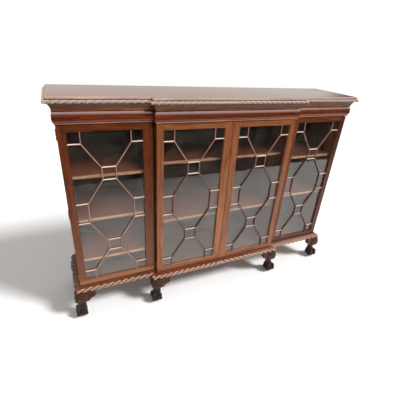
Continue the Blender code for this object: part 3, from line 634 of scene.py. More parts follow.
def moulding(name, profile, back_y, material, hollow=False):
    """A moulding along the front and ends, one ring of corners for each point of its profile.

    A hollow one is closed by its own profile and is cut off at the back.
    """
    bm = bmesh.new()
    rings = []
    for offset, z in profile:
        rings.append([bm.verts.new((x, y, z)) for x, y in front_corners(offset, back_y)])
    count = len(rings[0])
    following = rings[1:] + rings[:1] if hollow else rings[1:]
    for lower, upper in zip(rings, following):
        for index in range(count - 1 if hollow else count):
            after = (index + 1) % count
            bm.faces.new((lower[index], lower[after], upper[after], upper[index]))
    if hollow:
        bm.faces.new([ring[0] for ring in rings])
        bm.faces.new([ring[-1] for ring in rings])
    else:
        bm.faces.new(rings[0])
        bm.faces.new(rings[-1])
    bmesh.ops.recalc_face_normals(bm, faces=bm.faces)
    set_grain(bm, moulding_grain)
    return finished(bm, name, material)


def refinish(piece, low, high, material, axis=2):
    """Another finish for the faces whose middles lie between two places on an axis, or heights."""
    piece.data.materials.append(material)
    last = len(piece.data.materials) - 1
    for face in piece.data.polygons:
        if low < face.center[axis] < high:
            face.material_index = last


def cornice_profile():
    """The small bead, the cushion frieze and the cove, then back along the inside."""
    bead_radius = FRIEZE_BEAD_HEIGHT / 2
    bead = (FRIEZE_BEAD_PROJECTION - bead_radius, CORNICE_BOTTOM_Z + bead_radius)
    frieze_top = CORNICE_BOTTOM_Z + FRIEZE_HEIGHT
    bead_top = CORNICE_BOTTOM_Z + FRIEZE_BEAD_HEIGHT
    cushion_height = frieze_top - bead_top
    cushion = [(FRIEZE_BULGE * b, bead_top + cushion_height * r) for r, b in CUSHION_SHARES]
    sweep = EDGE_LIP - FRIEZE_TOP_PROJECTION
    cove = []
    for rise_share, sweep_share in COVE_SHARES:
        height = frieze_top + (CORNICE_TOP_Z - frieze_top) * rise_share
        cove.append((FRIEZE_TOP_PROJECTION + sweep * sweep_share, height))
    points = arc(bead, bead_radius, -90, 90)
    points += smooth_line(cushion, CURVE_STEPS)[:-1]
    points += smooth_line(cove, CURVE_STEPS)
    return points + [(-PANEL_REBATE, CORNICE_TOP_Z), (-PANEL_REBATE, CORNICE_BOTTOM_Z)]


def top_profile():
    """The board inside the carved roll, then the quirk and the rounded shoulder."""
    core = EDGE_PROJECTION - EDGE_ROLL_RADIUS + CORE_LAP
    roll_top = TOP_BOTTOM_Z + 2 * EDGE_ROLL_RADIUS - CORE_LAP
    shoulder = (EDGE_PROJECTION - EDGE_FLAT_INSET, TOP_Z - EDGE_SHOULDER)
    quirk = EDGE_PROJECTION - EDGE_QUIRK_INSET
    points = [(EDGE_LIP, TOP_BOTTOM_Z), (core, TOP_BOTTOM_Z + CORE_LAP), (core, roll_top)]
    points += [(quirk, roll_top), (quirk, shoulder[1] - CORE_LAP)]
    return points + arc(shoulder, EDGE_SHOULDER, 0, 90)


def base_profile():
    """The board inside the carved roll, then a quirk, a fillet and the bead under the doors."""
    core = BASE_PROJECTION - BASE_ROLL_RADIUS + CORE_LAP
    quirk_z = BASE_BOTTOM_Z + 2 * BASE_ROLL_RISE - BASE_QUIRK
    fillet = BASE_PROJECTION - BASE_ROLL_RADIUS - BASE_QUIRK
    fillet_z = BASE_TOP_Z - BASE_FILLET_DROP
    bead_radius = BASE_BEAD_HEIGHT / 2
    bead = (BASE_BEAD_PROJECTION - bead_radius, BASE_TOP_Z - bead_radius)
    points = [(BASE_BEAD_PROJECTION, BASE_BOTTOM_Z), (core, BASE_BOTTOM_Z + CORE_LAP)]
    points += [(core, quirk_z), (fillet, quirk_z), (fillet, fillet_z)]
    points += [(BASE_BEAD_PROJECTION + BASE_QUIRK, fillet_z)]
    points += [(BASE_BEAD_PROJECTION, fillet_z - BASE_QUIRK / 2)]
    return points + arc(bead, bead_radius, -30, 90)


def new_tree(name, inputs):
    """A geometry tree with named inputs, and the sockets that give their values."""
    tree = bpy.data.node_groups.new(name, "GeometryNodeTree")
    for label, kind in inputs.items():
        tree.interface.new_socket(label, in_out="INPUT", socket_type="NodeSocket" + kind)
    tree.interface.new_socket("Geometry", in_out="OUTPUT", socket_type="NodeSocketGeometry")
    return tree, add(tree, "NodeGroupInput").outputs


def end_tree(tree, shape, material):
    """Makes the shape real, gives it its material and ends the tree."""
    real = add(tree, "GeometryNodeRealizeInstances", {0: shape})
    coated = add(tree, "GeometryNodeSetMaterial", {"Geometry": real, "Material": material})
    add(tree, "NodeGroupOutput", {0: coated})
    return tree


def carved_roll_tree():
    """A straight run of a roll carved with slanted lobes, mitred at its ends."""
    inputs = dict.fromkeys(ROLL_VECTORS, "Vector") | dict.fromkeys(ROLL_SIZES, "Float")
    inputs |= {"Steps": "Int", "Sides": "Int", "Material": "Material"}
    tree, given = new_tree("carved_roll", inputs)
    line = add(tree, "GeometryNodeCurvePrimitiveLine", {"Start": (0, 0, 0), "End": (1, 0, 0)})
    path = add(tree, "GeometryNodeResampleCurve", {"Curve": line, "Count": given["Steps"]})
    # Every point is placed anew below, so the circle keeps its own radius
    ring = add(tree, "GeometryNodeCurvePrimitiveCircle", {"Resolution": given["Sides"]})
    curves = []
    kinds = (("along", "FLOAT", "Factor"), ("around", "INT", "Index"))
    for curve, (name, kind, measure) in zip((path, ring), kinds):
        kept = add(tree, "GeometryNodeCaptureAttribute", {"Geometry": curve})
        kept.capture_items.new(kind, name)
        place = add(tree, "GeometryNodeSplineParameter").outputs[measure]
        tree.links.new(place, kept.inputs[name])
        curves.append(kept)
    along, around = curves
    skinned = {"Curve": along, "Profile Curve": around, "Fill Caps": True}
    roll = add(tree, "GeometryNodeCurveToMesh", skinned)
    values = {name: given[name] for name in ROLL_SIZES}
    values |= {"along": along.outputs["along"], "around": around.outputs["around"]}
    for name, operation, *operands in ROLL_STEPS:
        inputs = {index: values.get(operand, operand) for index, operand in enumerate(operands)}
        values[name] = add(tree, "ShaderNodeMath", inputs, operation=operation).outputs[0]
    spot = given["Start"]
    for way, size in (("Along", "place"), ("Out", "offset"), ("Up", "level")):
        scaled = {0: given[way], "Scale": values[size]}
        moved = add(tree, "ShaderNodeVectorMath", scaled, operation="SCALE")
        spot = add(tree, "ShaderNodeVectorMath", {0: spot, 1: moved}, operation="ADD")
    shaped = add(tree, "GeometryNodeSetPosition", {"Geometry": roll, "Position": spot})
    return end_tree(tree, shaped, given["Material"])


def from_tree(tree, name, values):
    """The mesh that a node tree makes with these values for its named inputs."""
    holder = new_object(name, bpy.data.meshes.new(name))
    modifier = holder.modifiers.new(name, "NODES")
    modifier.node_group = tree
    for item in tree.interface.items_tree:
        if item.in_out == "INPUT" and item.name in values:
            modifier[item.identifier] = values[item.name]
    mesh = plain_mesh(holder, name)
    holder.modifiers.clear()
    bpy.data.objects.remove(holder)
    return mesh


def carved_roll(name, tree, back_y, step, sizes, material):
    """Lobes along the left half's four runs, mirrored to the right."""
    corners = front_corners(0.0, back_y)[:4] + [(0.0, CENTRE_FACE_Y)]
    outs = ((-1, 0, 0), (0, -1, 0), (-1, 0, 0), (0, -1, 0))
    mitres = ((0, 1), (1, -1), (-1, 1), (1, 0))
    bm = bmesh.new()
    for start, end, out, (first, last) in zip(corners, corners[1:], outs, mitres):
        start = Vector((*start, 0.0))
        run = Vector((*end, 0.0)) - start
        length = run.length
        reach = sizes["Roll Offset"] + sizes["Roll Radius"]
        carved = length + (first + last) * reach
        count = round(carved / sizes["Pitch"])
        values = sizes | {"Start": start, "Along": run.normalized(), "Out": Vector(out)}
        values |= {"Up": Vector((0.0, 0.0, 1.0)), "Length": length, "Reach": reach}
        values |= {"Start Mitre": float(first), "End Mitre": float(last)}
        values |= {"Pitch": carved / count, "Steps": round(carved / step)}
        values |= {"Last Side": sizes["Sides"] - 1.0, "Material": material}
        piece = bmesh.new()
        piece.from_mesh(from_tree(tree, name, values))
        bmesh.ops.recalc_face_normals(piece, faces=piece.faces)
        part = mesh_of(piece, name)
        bm.from_mesh(part)
        part.transform(Matrix.Diagonal((-1.0, 1.0, 1.0, 1.0)))
        part.flip_normals()
        bm.from_mesh(part)
        bpy.data.meshes.remove(part)
    set_grain(bm, moulding_grain)
    return smooth_piece(mesh_of(bm, name), name, material, sharp_angle=70)


def merged_copy(node_name):
    """The CAD node's shape with its triangles joined to whole faces."""
    bm = bmesh.new()
    bm.from_mesh(nodes[node_name].data)
    bmesh.ops.remove_doubles(bm, verts=bm.verts, dist=WELD)
    flat = math.radians(FLAT_ANGLE)
    bmesh.ops.dissolve_limit(bm, angle_limit=flat, verts=bm.verts, edges=bm.edges)
    return bm


def cut_board(bm, planes):
    """The part of a shape that lies inside all the planes, closed where it is cut."""
    board = bm.copy()
    for point, outward in planes:
        everything = board.verts[:] + board.edges[:] + board.faces[:]
        plane = {"plane_co": point, "plane_no": outward, "clear_outer": True}
        bmesh.ops.bisect_plane(board, geom=everything, **plane)
        rim = [edge for edge in board.edges if edge.is_boundary]
        bmesh.ops.edgeloop_fill(board, edges=rim)
    return board


def door_opening(door):
    """The frame's opening: its left, right, bottom and top."""
    low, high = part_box(door + "_frame")
    stiles = (CENTRE_HINGE_STILE, MEETING_STILE)
    if "wing" in door:
        stiles = (WING_HINGE_STILE, WING_LOCK_STILE)
    if door.startswith("right"):
        stiles = stiles[::-1]
    return low.x + stiles[0], high.x - stiles[1], low.z + BOTTOM_RAIL, high.z - TOP_RAIL


def door_frame(door, number, material):
    """Two stiles that run the full height and two rails between them, each its own board."""
    left, right, bottom, top = door_opening(door)
    whole = merged_copy(door + "_frame")
    between = [((left, 0, 0), (-1, 0, 0)), ((right, 0, 0), (1, 0, 0))]
    boards = (
        ([((left, 0, 0), (1, 0, 0))], "z"),
        ([((right, 0, 0), (-1, 0, 0))], "z"),
        (between + [((0, 0, bottom), (0, 0, 1))], "x"),
        (between + [((0, 0, top), (0, 0, -1))], "x"),
    )
    joined = bmesh.new()
    for index, (planes, along) in enumerate(boards):
        board = cut_board(whole, planes)
        bmesh.ops.recalc_face_normals(board, faces=board.faces)
        corners = []
        for edge in board.edges:
            if edge.is_manifold and edge.calc_face_angle(0) > BOARD_CORNER_ANGLE:
                corners.append(edge)
        bevel = {"offset": BOARD_EDGE, "segments": 2, "affect": "EDGES", "clamp_overlap": True}
        bmesh.ops.bevel(board, geom=corners, **bevel)
        shift = DOOR_SHIFT * number + BOARD_SHIFT * index
        turn = (lambda co: co.xyz) if along == "z" else (lambda co: co.zyx)
        set_grain(board, lambda face, co, turn=turn, shift=shift: turn(co) + shift)
        part = mesh_of(board, door)
        joined.from_mesh(part)
        bpy.data.meshes.remove(part)
    whole.free()
    mesh = mesh_of(joined, door + "_boards")
    mesh.shade_flat()
    mesh.materials.append(material)
    return new_object(door + "_boards", mesh)


def inset_loop(points, insets):
    """A loop of points counter-clockwise, each side moved inwards by its own inset."""
    count = len(points)
    moved = []
    for index in range(count):
        before = Vector(points[index - 1])
        here = Vector(points[index])
        after = Vector(points[(index + 1) % count])
        first = (here - before).normalized()
        second = (after - here).normalized()
        first_inner = Vector((-first.y, first.x)) * insets[index - 1]
        second_inner = Vector((-second.y, second.x)) * insets[index]
        turn = first.x * second.y - first.y * second.x
        gap = second_inner - first_inner
        along = (gap.x * second.y - gap.y * second.x) / turn
        moved.append(here + first_inner + first * along)
    return moved


def mirrored(pane, across, up):
    """The pane's corners with the lattice turned over across, upwards or both ways."""
    last_across = len(ACROSS_SHARES) - 1
    last_up = len(UP_SHARES) - 1
    corners = [(last_across - a if across else a, last_up - u if up else u) for a, u in pane]
    return corners if across == up else corners[::-1]


def lattice_panes():
    """Each pane's corners as (across, up) numbers in the two share lists, counter-clockwise."""
    corner = ((0, 0), (1, 0), (1, 1), (0, 1))
    side = ((0, 1), (1, 1), (2, 2), (2, 3), (1, 4), (0, 4))
    middle_side = ((0, 4), (1, 4), (1, 5), (0, 5))
    end = ((1, 0), (4, 0), (4, 1), (3, 2), (2, 2), (1, 1))
    square = ((2, 2), (3, 2), (3, 3), (2, 3))
    middle = ((2, 3), (3, 3), (4, 4), (4, 5), (3, 6), (2, 6), (1, 5), (1, 4))
    panes = [middle]
    for across in (False, True):
        panes.append(mirrored(middle_side, across, False))
        for up in (False, True):
            panes.append(mirrored(corner, across, up))
            panes.append(mirrored(side, across, up))
    for up in (False, True):
        panes.append(mirrored(end, False, up))
        panes.append(mirrored(square, False, up))
    return panes


def astragals(door, materials):
    """Moulded glazing bars, mitred where they meet, with a small rim against the frame.

    The materials are those of the bars' sides, with painted shade, of the rim, of the crests,
    rubbed and with a painted highlight, and of what faces up, with painted light from above.
    """
    low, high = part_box(door + "_astragals")
    size = high - low
    section = ((0.0, 0.0), *ASTRAGAL_SHARES, (0.0, 1.0))
    bm = bmesh.new()
    grain = bm.loops.layers.float_vector.new("grain")
    for pane in lattice_panes():
        points = []
        for a, u in pane:
            points.append((low.x + size.x * ACROSS_SHARES[a], low.z + size.z * UP_SHARES[u]))
        half_widths = []
        for (a, u), (next_a, next_u) in zip(pane, (*pane[1:], pane[0])):
            on_side = a == next_a and a in (0, len(ACROSS_SHARES) - 1)
            on_end = u == next_u and u in (0, len(UP_SHARES) - 1)
            half_widths.append(ASTRAGAL_RIM if on_side or on_end else ASTRAGAL_WIDTH / 2)
        rings = []
        for inset_share, depth_share in section:
            loop = inset_loop(points, [width * inset_share for width in half_widths])
            depth = high.y - size.y * depth_share
            rings.append([bm.verts.new((x, depth, z)) for x, z in loop])
        for step, (outer, inner) in enumerate(zip(rings, rings[1:])):
            for index in range(len(outer)):
                after = (index + 1) % len(outer)
                face = bm.faces.new((outer[index], outer[after], inner[after], inner[index]))
                length = Vector(points[after]) - Vector(points[index])
                along = Vector((length.x, 0.0, length.y)).normalized()
                # Sides take painted shade, crests a painted highlight, and what faces up painted
                # light from above
                if half_widths[index] == ASTRAGAL_RIM:
                    face.material_index = 1
                elif step > ASTRAGAL_QUIRK and along.x > BOTTOM_RUN:
                    face.material_index = 3
                elif step > ASTRAGAL_QUIRK and section[step][0] <= ASTRAGAL_CREST_SHARE:
                    face.material_index = 2
                across = Vector((-along.z, 0.0, along.x))
                for loop in face.loops:
                    co = loop.vert.co
                    loop[grain] = Vector((co.dot(across), co.y, co.dot(along)))
    bmesh.ops.remove_doubles(bm, verts=bm.verts, dist=WELD)
    sides = bmesh.ops.bridge_loops(bm, edges=[edge for edge in bm.edges if edge.is_boundary])
    for face in sides["faces"]:
        face.material_index = 1
    bars = finished(bm, door + "_glazing_bars", materials[0], sharp_angle=40)
    for material in materials[1:]:
        bars.data.materials.append(material)
    return bars


def back_boards_tree():
    """Boards of one size laid edge to edge upwards."""
    inputs = dict.fromkeys(("First Middle", "Board Size", "Step"), "Vector")
    tree, given = new_tree("back_boards", inputs | {"Count": "Int", "Material": "Material"})
    board = add(tree, "GeometryNodeMeshCube", {"Size": given["Board Size"]})
    row = {"Start Location": given["First Middle"], "Offset": given["Step"]}
    line = add(tree, "GeometryNodeMeshLine", {"Count": given["Count"], **row})
    laid = add(tree, "GeometryNodeInstanceOnPoints", {"Points": line, "Instance": board})
    return end_tree(tree, laid, given["Material"])


def back_boards(material):
    """The back's boards, each with its own grain."""
    low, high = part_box("back_panel")
    height = (high.z - low.z) / BACK_BOARDS
    first = Vector(((low.x + high.x) / 2, (low.y + high.y) / 2, low.z + height / 2))
    values = {"First Middle": first, "Step": Vector((0.0, 0.0, height)), "Count": BACK_BOARDS}
    values |= {"Board Size": Vector((high.x - low.x, high.y - low.y, height)), "Material": material}
    bm = bmesh.new()
    bm.from_mesh(from_tree(back_boards_tree(), "back_boards", values))
    bmesh.ops.bevel(bm, geom=bm.edges[:], offset=BACK_BOARD_EDGE, segments=2, affect="EDGES")

    def grain(face, co):
        board = math.floor((co.z - low.z) / height)
        return Vector((co.z, co.y, co.x + BACK_BOARD_SHIFT * board))

    set_grain(bm, grain)
    return finished(bm, "back_boards", material)


def leg_shape(bm):
    """Knee and leg, a row of rounded squares."""
    rings = []
    for height_share, middle_share, half_share, squareness in smooth_line(LEG_SHARES, LEG_STEPS):
        middle = KNEE_SIZE * middle_share
        half = KNEE_SIZE * half_share
        ring = []
        for index in range(LEG_SIDES):
            angle = 2 * math.pi * index / LEG_SIDES
            cosine = math.cos(angle)
            sine = math.sin(angle)
            reach = (abs(cosine) ** squareness + abs(sine) ** squareness) ** (-1 / squareness)
            x = middle + half * reach * cosine
            y = middle + half * reach * sine
            ring.append(bm.verts.new((x, y, BASE_BOTTOM_Z * height_share)))
        rings.append(ring)
    skin(bm, rings)


def skin(bm, rings):
    """Closed skin over a row of rings with as many corners each."""
    for first, second in zip(rings, rings[1:]):
        for index in range(len(first)):
            after = (index + 1) % len(first)
            bm.faces.new((first[index], second[index], second[after], first[after]))
    bm.faces.new(rings[0][::-1])
    bm.faces.new(rings[-1])


def tube(bm, points, radii):
    """A round bar through the points, its thickness changing from point to point."""
    line = smooth_line([(*point, radius) for point, radius in zip(points, radii)], TUBE_STEPS)
    rings = []
    for index, (x, y, z, radius) in enumerate(line):
        before = Vector(line[max(index - 1, 0)][:3])
        after = Vector(line[min(index + 1, len(line) - 1)][:3])
        forward = (after - before).normalized()
        side = forward.cross(TUBE_UP).normalized()
        other = forward.cross(side)
        ring = []
        for step in range(TUBE_SIDES):
            angle = 2 * math.pi * step / TUBE_SIDES
            spoke = side * math.cos(angle) + other * math.sin(angle)
            ring.append(bm.verts.new(Vector((x, y, z)) + spoke * radius))
        rings.append(ring)
    skin(bm, rings)


def ear_shape(bm, along_x):
    """The bracket beside the knee, with a scroll carved along its lower edge."""

    def placed(line, depth):
        return [(length, depth, z) if along_x else (depth, length, z) for length, z in line]

    def sized(shares):
        return [(EAR_LENGTH * length, BASE_BOTTOM_Z - EAR_DROP * drop) for length, drop in shares]

    outline = sized(EAR_SHARES)
    outline = outline[:1] + smooth_line(outline[1:-1], TUBE_STEPS) + outline[-1:]
    sides = []
    for depth in (EAR_INSET, EAR_INSET + EAR_THICKNESS):
        sides.append([bm.verts.new(corner) for corner in placed(outline, depth)])
    skin(bm, sides)
    thicknesses = [SCROLL_RADIUS * share for share in SCROLL_THICKNESS_SHARES]
    tube(bm, placed(sized(EAR_SCROLL_SHARES), SCROLL_INSET), thicknesses)


def leaf_relief(co):
    """How far the carved leaf stands out at a place on the knee or the ear."""
    aside = max(co.x, co.y)
    drop = BASE_BOTTOM_Z - co.z
    if drop < LEAF_TOP or drop > LEAF_FOOT:
        return 0.0
    turn = math.atan2(drop + LEAF_ROOT_RISE, aside + LEAF_ROOT_OUTSET)
    reach = math.hypot(drop, aside)
    fingers = abs(math.sin(turn * LEAF_FINGERS + reach * LEAF_SWEEP)) ** LEAF_FULLNESS
    top_fade = min(1.0, (drop - LEAF_TOP) / LEAF_TOP_FADE)
    foot_fade = min(1.0, (LEAF_FOOT - drop) / LEAF_FOOT_FADE)
    return (fingers - LEAF_GROUND) * (top_fade * foot_fade)


def carve_leaves(mesh):
    """Carves the surface, and keeps it between floor and base and within the claws' reach."""
    normals = [vertex.normal.copy() for vertex in mesh.vertices]
    limit = BASE_BOTTOM_Z - WELD
    for vertex, normal in zip(mesh.vertices, normals):
        vertex.co += normal * (leaf_relief(vertex.co) * LEAF_DEPTH)
        vertex.co.z = min(max(vertex.co.z, 0.0), limit)
        vertex.co.x = max(vertex.co.x, -CLAW_REACH)
        vertex.co.y = max(vertex.co.y, -CLAW_REACH)


def foot_mesh():
    """One foot, its reference at the base moulding's corner, its ears along +X and +Y."""
    bm = bmesh.new()
    leg_shape(bm)
    middle = Vector((FOOT_INSET, FOOT_INSET, BALL_HEIGHT))
    bmesh.ops.create_uvsphere(bm, matrix=Matrix.Translation(middle), **BALL_SHAPE)
    thicknesses = [BALL_RADIUS * thickness for _, _, thickness in TALON_SHARES]
    for azimuth in map(math.radians, TALON_AZIMUTHS):
        direction = Vector((math.cos(azimuth), math.sin(azimuth), 0.0))
        points = []
        for turn, distance, _ in TALON_SHARES:
            out = BALL_RADIUS * distance * math.sin(math.radians(turn))
            up = BALL_RADIUS * distance * math.cos(math.radians(turn))
            points.append(middle + direction * out + Vector((0.0, 0.0, up)))
        tube(bm, points, thicknesses)
    ear_shape(bm, True)
    ear_shape(bm, False)
    bmesh.ops.recalc_face_normals(bm, faces=bm.faces)
    holder = new_object("foot", mesh_of(bm, "foot"))
    remesh = holder.modifiers.new("skin", "REMESH")
    remesh.mode = "VOXEL"
    remesh.voxel_size = FOOT_VOXEL
    soften = holder.modifiers.new("soften", "SMOOTH")
    soften.iterations = FOOT_SMOOTHING
    soften.factor = 0.5
    mesh = plain_mesh(holder, "foot")
    holder.modifiers.clear()
    bpy.data.objects.remove(holder)
    carve_leaves(mesh)
    return mesh


def foot(name, mesh, side, end, material):
    """The foot turned to its own corner of the case and put under it."""
    placed = mesh.copy()
    placed.transform(Matrix.Diagonal((-side, end, 1.0, 1.0)))
    if -side * end < 0:
        placed.flip_normals()
    x, y = BODY_X + BASE_PROJECTION, WING_FACE_Y - BASE_PROJECTION
    if name.startswith("centre"):
        x, y = CENTRE_X + BASE_PROJECTION, CENTRE_FACE_Y - BASE_PROJECTION
    if name.startswith("rear"):
        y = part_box(name)[1].y - CLAW_REACH
    placed.transform(Matrix.Translation((side * x, y, 0.0)))
    placed.name = name
    placed.shade_smooth()
    placed.materials.append(material)
    return new_object(name + "_carved", placed)


def studio_floor():
    """Matt white paper, faintly mottled. The camera doesn't see it darken away from the cabinet."""
    material, tree = blank_material("matt_white_paper")
    place = add(tree, "ShaderNodeTexCoord").outputs["Object"]
    patches = {"Vector": place, "Scale": FLOOR_MOTTLE_SCALE, "Detail": 2.0}
    mottle = add(tree, "ShaderNodeTexNoise", patches)
    tone = add(tree, "ShaderNodeMapRange", {0: mottle, 3: FLOOR_TONES[0], 4: FLOOR_TONES[1]})
    towards = {0: place, 1: FLOOR_FADE_WAY}
    away = add(tree, "ShaderNodeVectorMath", towards, operation="DOT_PRODUCT").outputs["Value"]
    fade = add(tree, "ShaderNodeMapRange", dict(enumerate((away, *FLOOR_FADE))))
    camera_ray = add(tree, "ShaderNodeLightPath").outputs["Is Camera Ray"]
    seen_fade = add(tree, "ShaderNodeMix", {0: camera_ray, 2: fade, 3: 1.0})
    faded = add(tree, "ShaderNodeMath", {0: tone, 1: seen_fade}, operation="MULTIPLY")
    finish = {"Base Color": faded, "Roughness": 0.9, "IOR": 1.3}
    shader = add(tree, "ShaderNodeBsdfPrincipled", finish)
    add(tree, "ShaderNodeOutputMaterial", {0: shader})
    return material


def soft_light(name, angle, direction, lit):
    """A wide distant light on the objects that one collection lets it light."""
    sun = bpy.data.lights.new(name, "SUN")
    sun.energy = LIGHT_STRENGTH
    sun.angle = math.radians(angle)
    holder = new_object(name, sun)
    holder.rotation_euler = Vector(direction).to_track_quat("-Z", "Y").to_euler()
    holder.visible_glossy = False
    holder.light_linking.receiver_collection = lit


def studio():
    """A white floor with a soft light of its own, and another one for the cabinet."""
    bm = bmesh.new()
    bm.faces.new([bm.verts.new((x, y, 0.0)) for x, y in FLOOR_CORNERS])
    floor = finished(bm, "studio_floor", studio_floor())
    only_floor = bpy.data.collections.new("lit_by_side_light")
    only_floor.objects.link(floor)
    all_but_floor = bpy.data.collections.new("lit_by_front_light")
    all_but_floor.objects.link(floor)
    all_but_floor.collection_objects[0].light_linking.link_state = "EXCLUDE"
    soft_light("front_light", *FRONT_LIGHT, all_but_floor)
    soft_light("side_light", *SIDE_LIGHT, only_floor)


def studio_room():
    """What lights the cabinet from all round and shows in its polish. The camera sees white."""
    world = bpy.data.worlds.new("studio_room")
    bpy.context.scene.world = world
    world.use_nodes = True
    tree = world.node_tree
    tree.nodes.clear()
    way = add(tree, "ShaderNodeTexCoord").outputs["Generated"]
    rise = add(tree, "ShaderNodeSeparateXYZ", {0: way}).outputs["Z"]
    rays = add(tree, "ShaderNodeLightPath").outputs
    strengths = []
    for towards, measures in ((PALE_WALL_WAY, PALE_WALL), (SOFT_BOX_WAY, SOFT_BOX)):
        turned = add(tree, "ShaderNodeVectorMath", {0: way, 1: towards}, operation="DOT_PRODUCT")
        ranged = dict(enumerate((turned.outputs["Value"], *measures)))
        strengths.append(add(tree, "ShaderNodeMapRange", ranged))
    for measures in (CEILING, HORIZON):
        strengths.append(add(tree, "ShaderNodeMapRange", dict(enumerate((rise, *measures)))))
    pale, bright, high, above = strengths
    matt = rays["Is Diffuse Ray"]
    ceiling = add(tree, "ShaderNodeMix", {0: matt, 2: CEILING_STRENGTH, 3: CEILING_ON_MATT})
    wall = add(tree, "ShaderNodeMix", {0: matt, 2: pale, 3: WALL_ON_MATT})
    soft_box = add(tree, "ShaderNodeMix", {0: matt, 2: bright, 3: 0.0})
    room = add(tree, "ShaderNodeMix", {0: high, 2: wall, 3: ceiling})
    lit_room = add(tree, "ShaderNodeMath", {0: room, 1: soft_box})
    strength = add(tree, "ShaderNodeMath", {0: lit_room, 1: above}, operation="MULTIPLY")
    colour = {"Color": linear(ROOM_COLOUR), "Strength": strength}
    around = add(tree, "ShaderNodeBackground", colour)
    white = add(tree, "ShaderNodeBackground", {"Color": (1.0, 1.0, 1.0, 1.0), "Strength": 1.0})
    seen = {0: rays["Is Camera Ray"], 1: around, 2: white}
    add(tree, "ShaderNodeOutputWorld", {0: add(tree, "ShaderNodeMixShader", seen)})


def camera():
    """The photograph's view: from the left, above and in front."""
    data = bpy.data.cameras.new("camera")
    data.sensor_width = CAMERA_SENSOR
    data.lens = CAMERA_LENS
    data.shift_x, data.shift_y = CAMERA_SHIFT
    holder = new_object("camera", data)
    turn = Matrix(CAMERA_TURN).to_4x4()
    holder.matrix_world = Matrix.Translation(CAMERA_PLACE) @ turn
    bpy.context.scene.camera = holder


# Woods, each with its colours from the darkest grain to the lightest
DOOR_WOOD = ("34160c", "522712", "703b1e")
CENTRE_DOOR_WOOD = ("4a2816", "734124", "90603a")
CASE_WOOD = ("2b0f08", "54200f", "7a3418")
FRIEZE_WOOD = ("280d07", "52220f", "743218")
# The frieze's bead, paled: a painted highlight
BEAD_HIGHLIGHT_WOOD = ("5a2e1a", "8a5236", "ac7658")
COVE_WOOD = ("42220f", "6e4028", "925e3c")
TOP_WOOD = ("442610", "64401f", "825a32")
# The top's rounded shoulder, paled: a painted reflection
SHOULDER_SHEEN_WOOD = ("6a5448", "897163", "a48c7c")
SHELF_WOOD = ("2c120b", "482014", "633422")
BACK_WOOD = ("1c0e0a", "361d13", "4c2c1f")
EDGE_WOOD = ("3e281f", "5c4336", "7a5f50")
BASE_WOOD = ("34190d", "56321f", "7a523c")
# The base roll's left end, darkened: painted shade
BASE_END_SHADE_WOOD = ("1c0d08", "34190f", "4c2a1c")
# Bar sides with painted shade, crests with a painted highlight, tops with painted light from above
BAR_SHADED_SIDE_WOOD = ("24120a", "3c2216", "583826")
BAR_WOOD = ("6a4a3c", "9a7462", "c09c8a")
BAR_LIT_TOP_WOOD = ("a88c7c", "ccb4a6", "e6d6ca")
FOOT_WOOD = ("1a0d07", "321b0e", "52301a")

# A satin polish. The base board grows paler to the right: a painted reflection of the bright room.
# The left wing door is yellower in its lower half and paler on its bottom rail: a painted
# reflection of the floor. The right wing door's bottom rail and hinge stile are darker
SATIN = {"roughness": 0.32, "gloss": 0.25}
base_wood = wood("polished_mahogany_base", DOOR_WOOD, **SATIN, blends=[("7c5c50", "X", 0.15, 0.6)])
left_door_wood = wood(
    "polished_mahogany_left_wing_door",
    DOOR_WOOD,
    **SATIN,
    blends=[("5a341c", "Z", 0.62, 0.26), ("83593b", "Z", 0.246, 0.236)],
)
right_door_wood = wood(
    "polished_mahogany_right_wing_door",
    DOOR_WOOD,
    **SATIN,
    blends=[("3a2014", "Z", 0.246, 0.236), ("34140e", "X", 0.830, 0.850)],
)
# Paler and yellower than the wings
centre_door_wood = wood("polished_mahogany_centre_doors", CENTRE_DOOR_WOOD)
# A full polish on the frieze, and less of it on the bead and the cove. The bead is paler: a
# painted highlight along it
frieze_wood = wood("polished_mahogany_frieze", FRIEZE_WOOD, roughness=0.22, coat=0.7, gloss=0.4)
highlit_bead_wood = wood("mahogany_bead_painted_highlight", BEAD_HIGHLIGHT_WOOD, coat=0.4)
cove_wood = wood("polished_mahogany_cove", COVE_WOOD, coat=0.2, gloss=0.2)
# A rounded edge painted pale: a painted reflection of the bright room above
shoulder_sheen_wood = wood("mahogany_shoulder_painted_sheen", SHOULDER_SHEEN_WOOD, roughness=0.3, coat=0.4)
# A full polish that mirrors the room, redder to the right: a painted reflection of something
# red-brown there
top_wood = wood(
    "polished_mahogany_top",
    TOP_WOOD,
    roughness=0.2,
    coat=0.9,
    blends=[("66240f", "X", 0.4, 1.0)],
)
# Dark red boards of the case under a thin polish
upright_wood = wood("polished_mahogany_ends", CASE_WOOD, "z")
inner_wood = wood("polished_mahogany_inner_boards", CASE_WOOD, "x")
# Planed boards with little polish and pale front edges
shelf_wood = wood(
    "planed_mahogany_shelves",
    SHELF_WOOD,
    "x",
    roughness=0.4,
    coat=0.2,
    blends=[("876048", "Y", -0.0990, -0.0995)],
)
# Dark and dull, without polish
UNPOLISHED = {"roughness": 0.5, "coat": 0.0}
back_wood = wood("stained_back_boards", BACK_WOOD, **UNPOLISHED)
# The case's bottom, as dark as the back boards: painted shade inside the case
shaded_case_bottom_wood = wood("dark_mahogany_case_bottom_painted_shade", BACK_WOOD, "x", **UNPOLISHED)
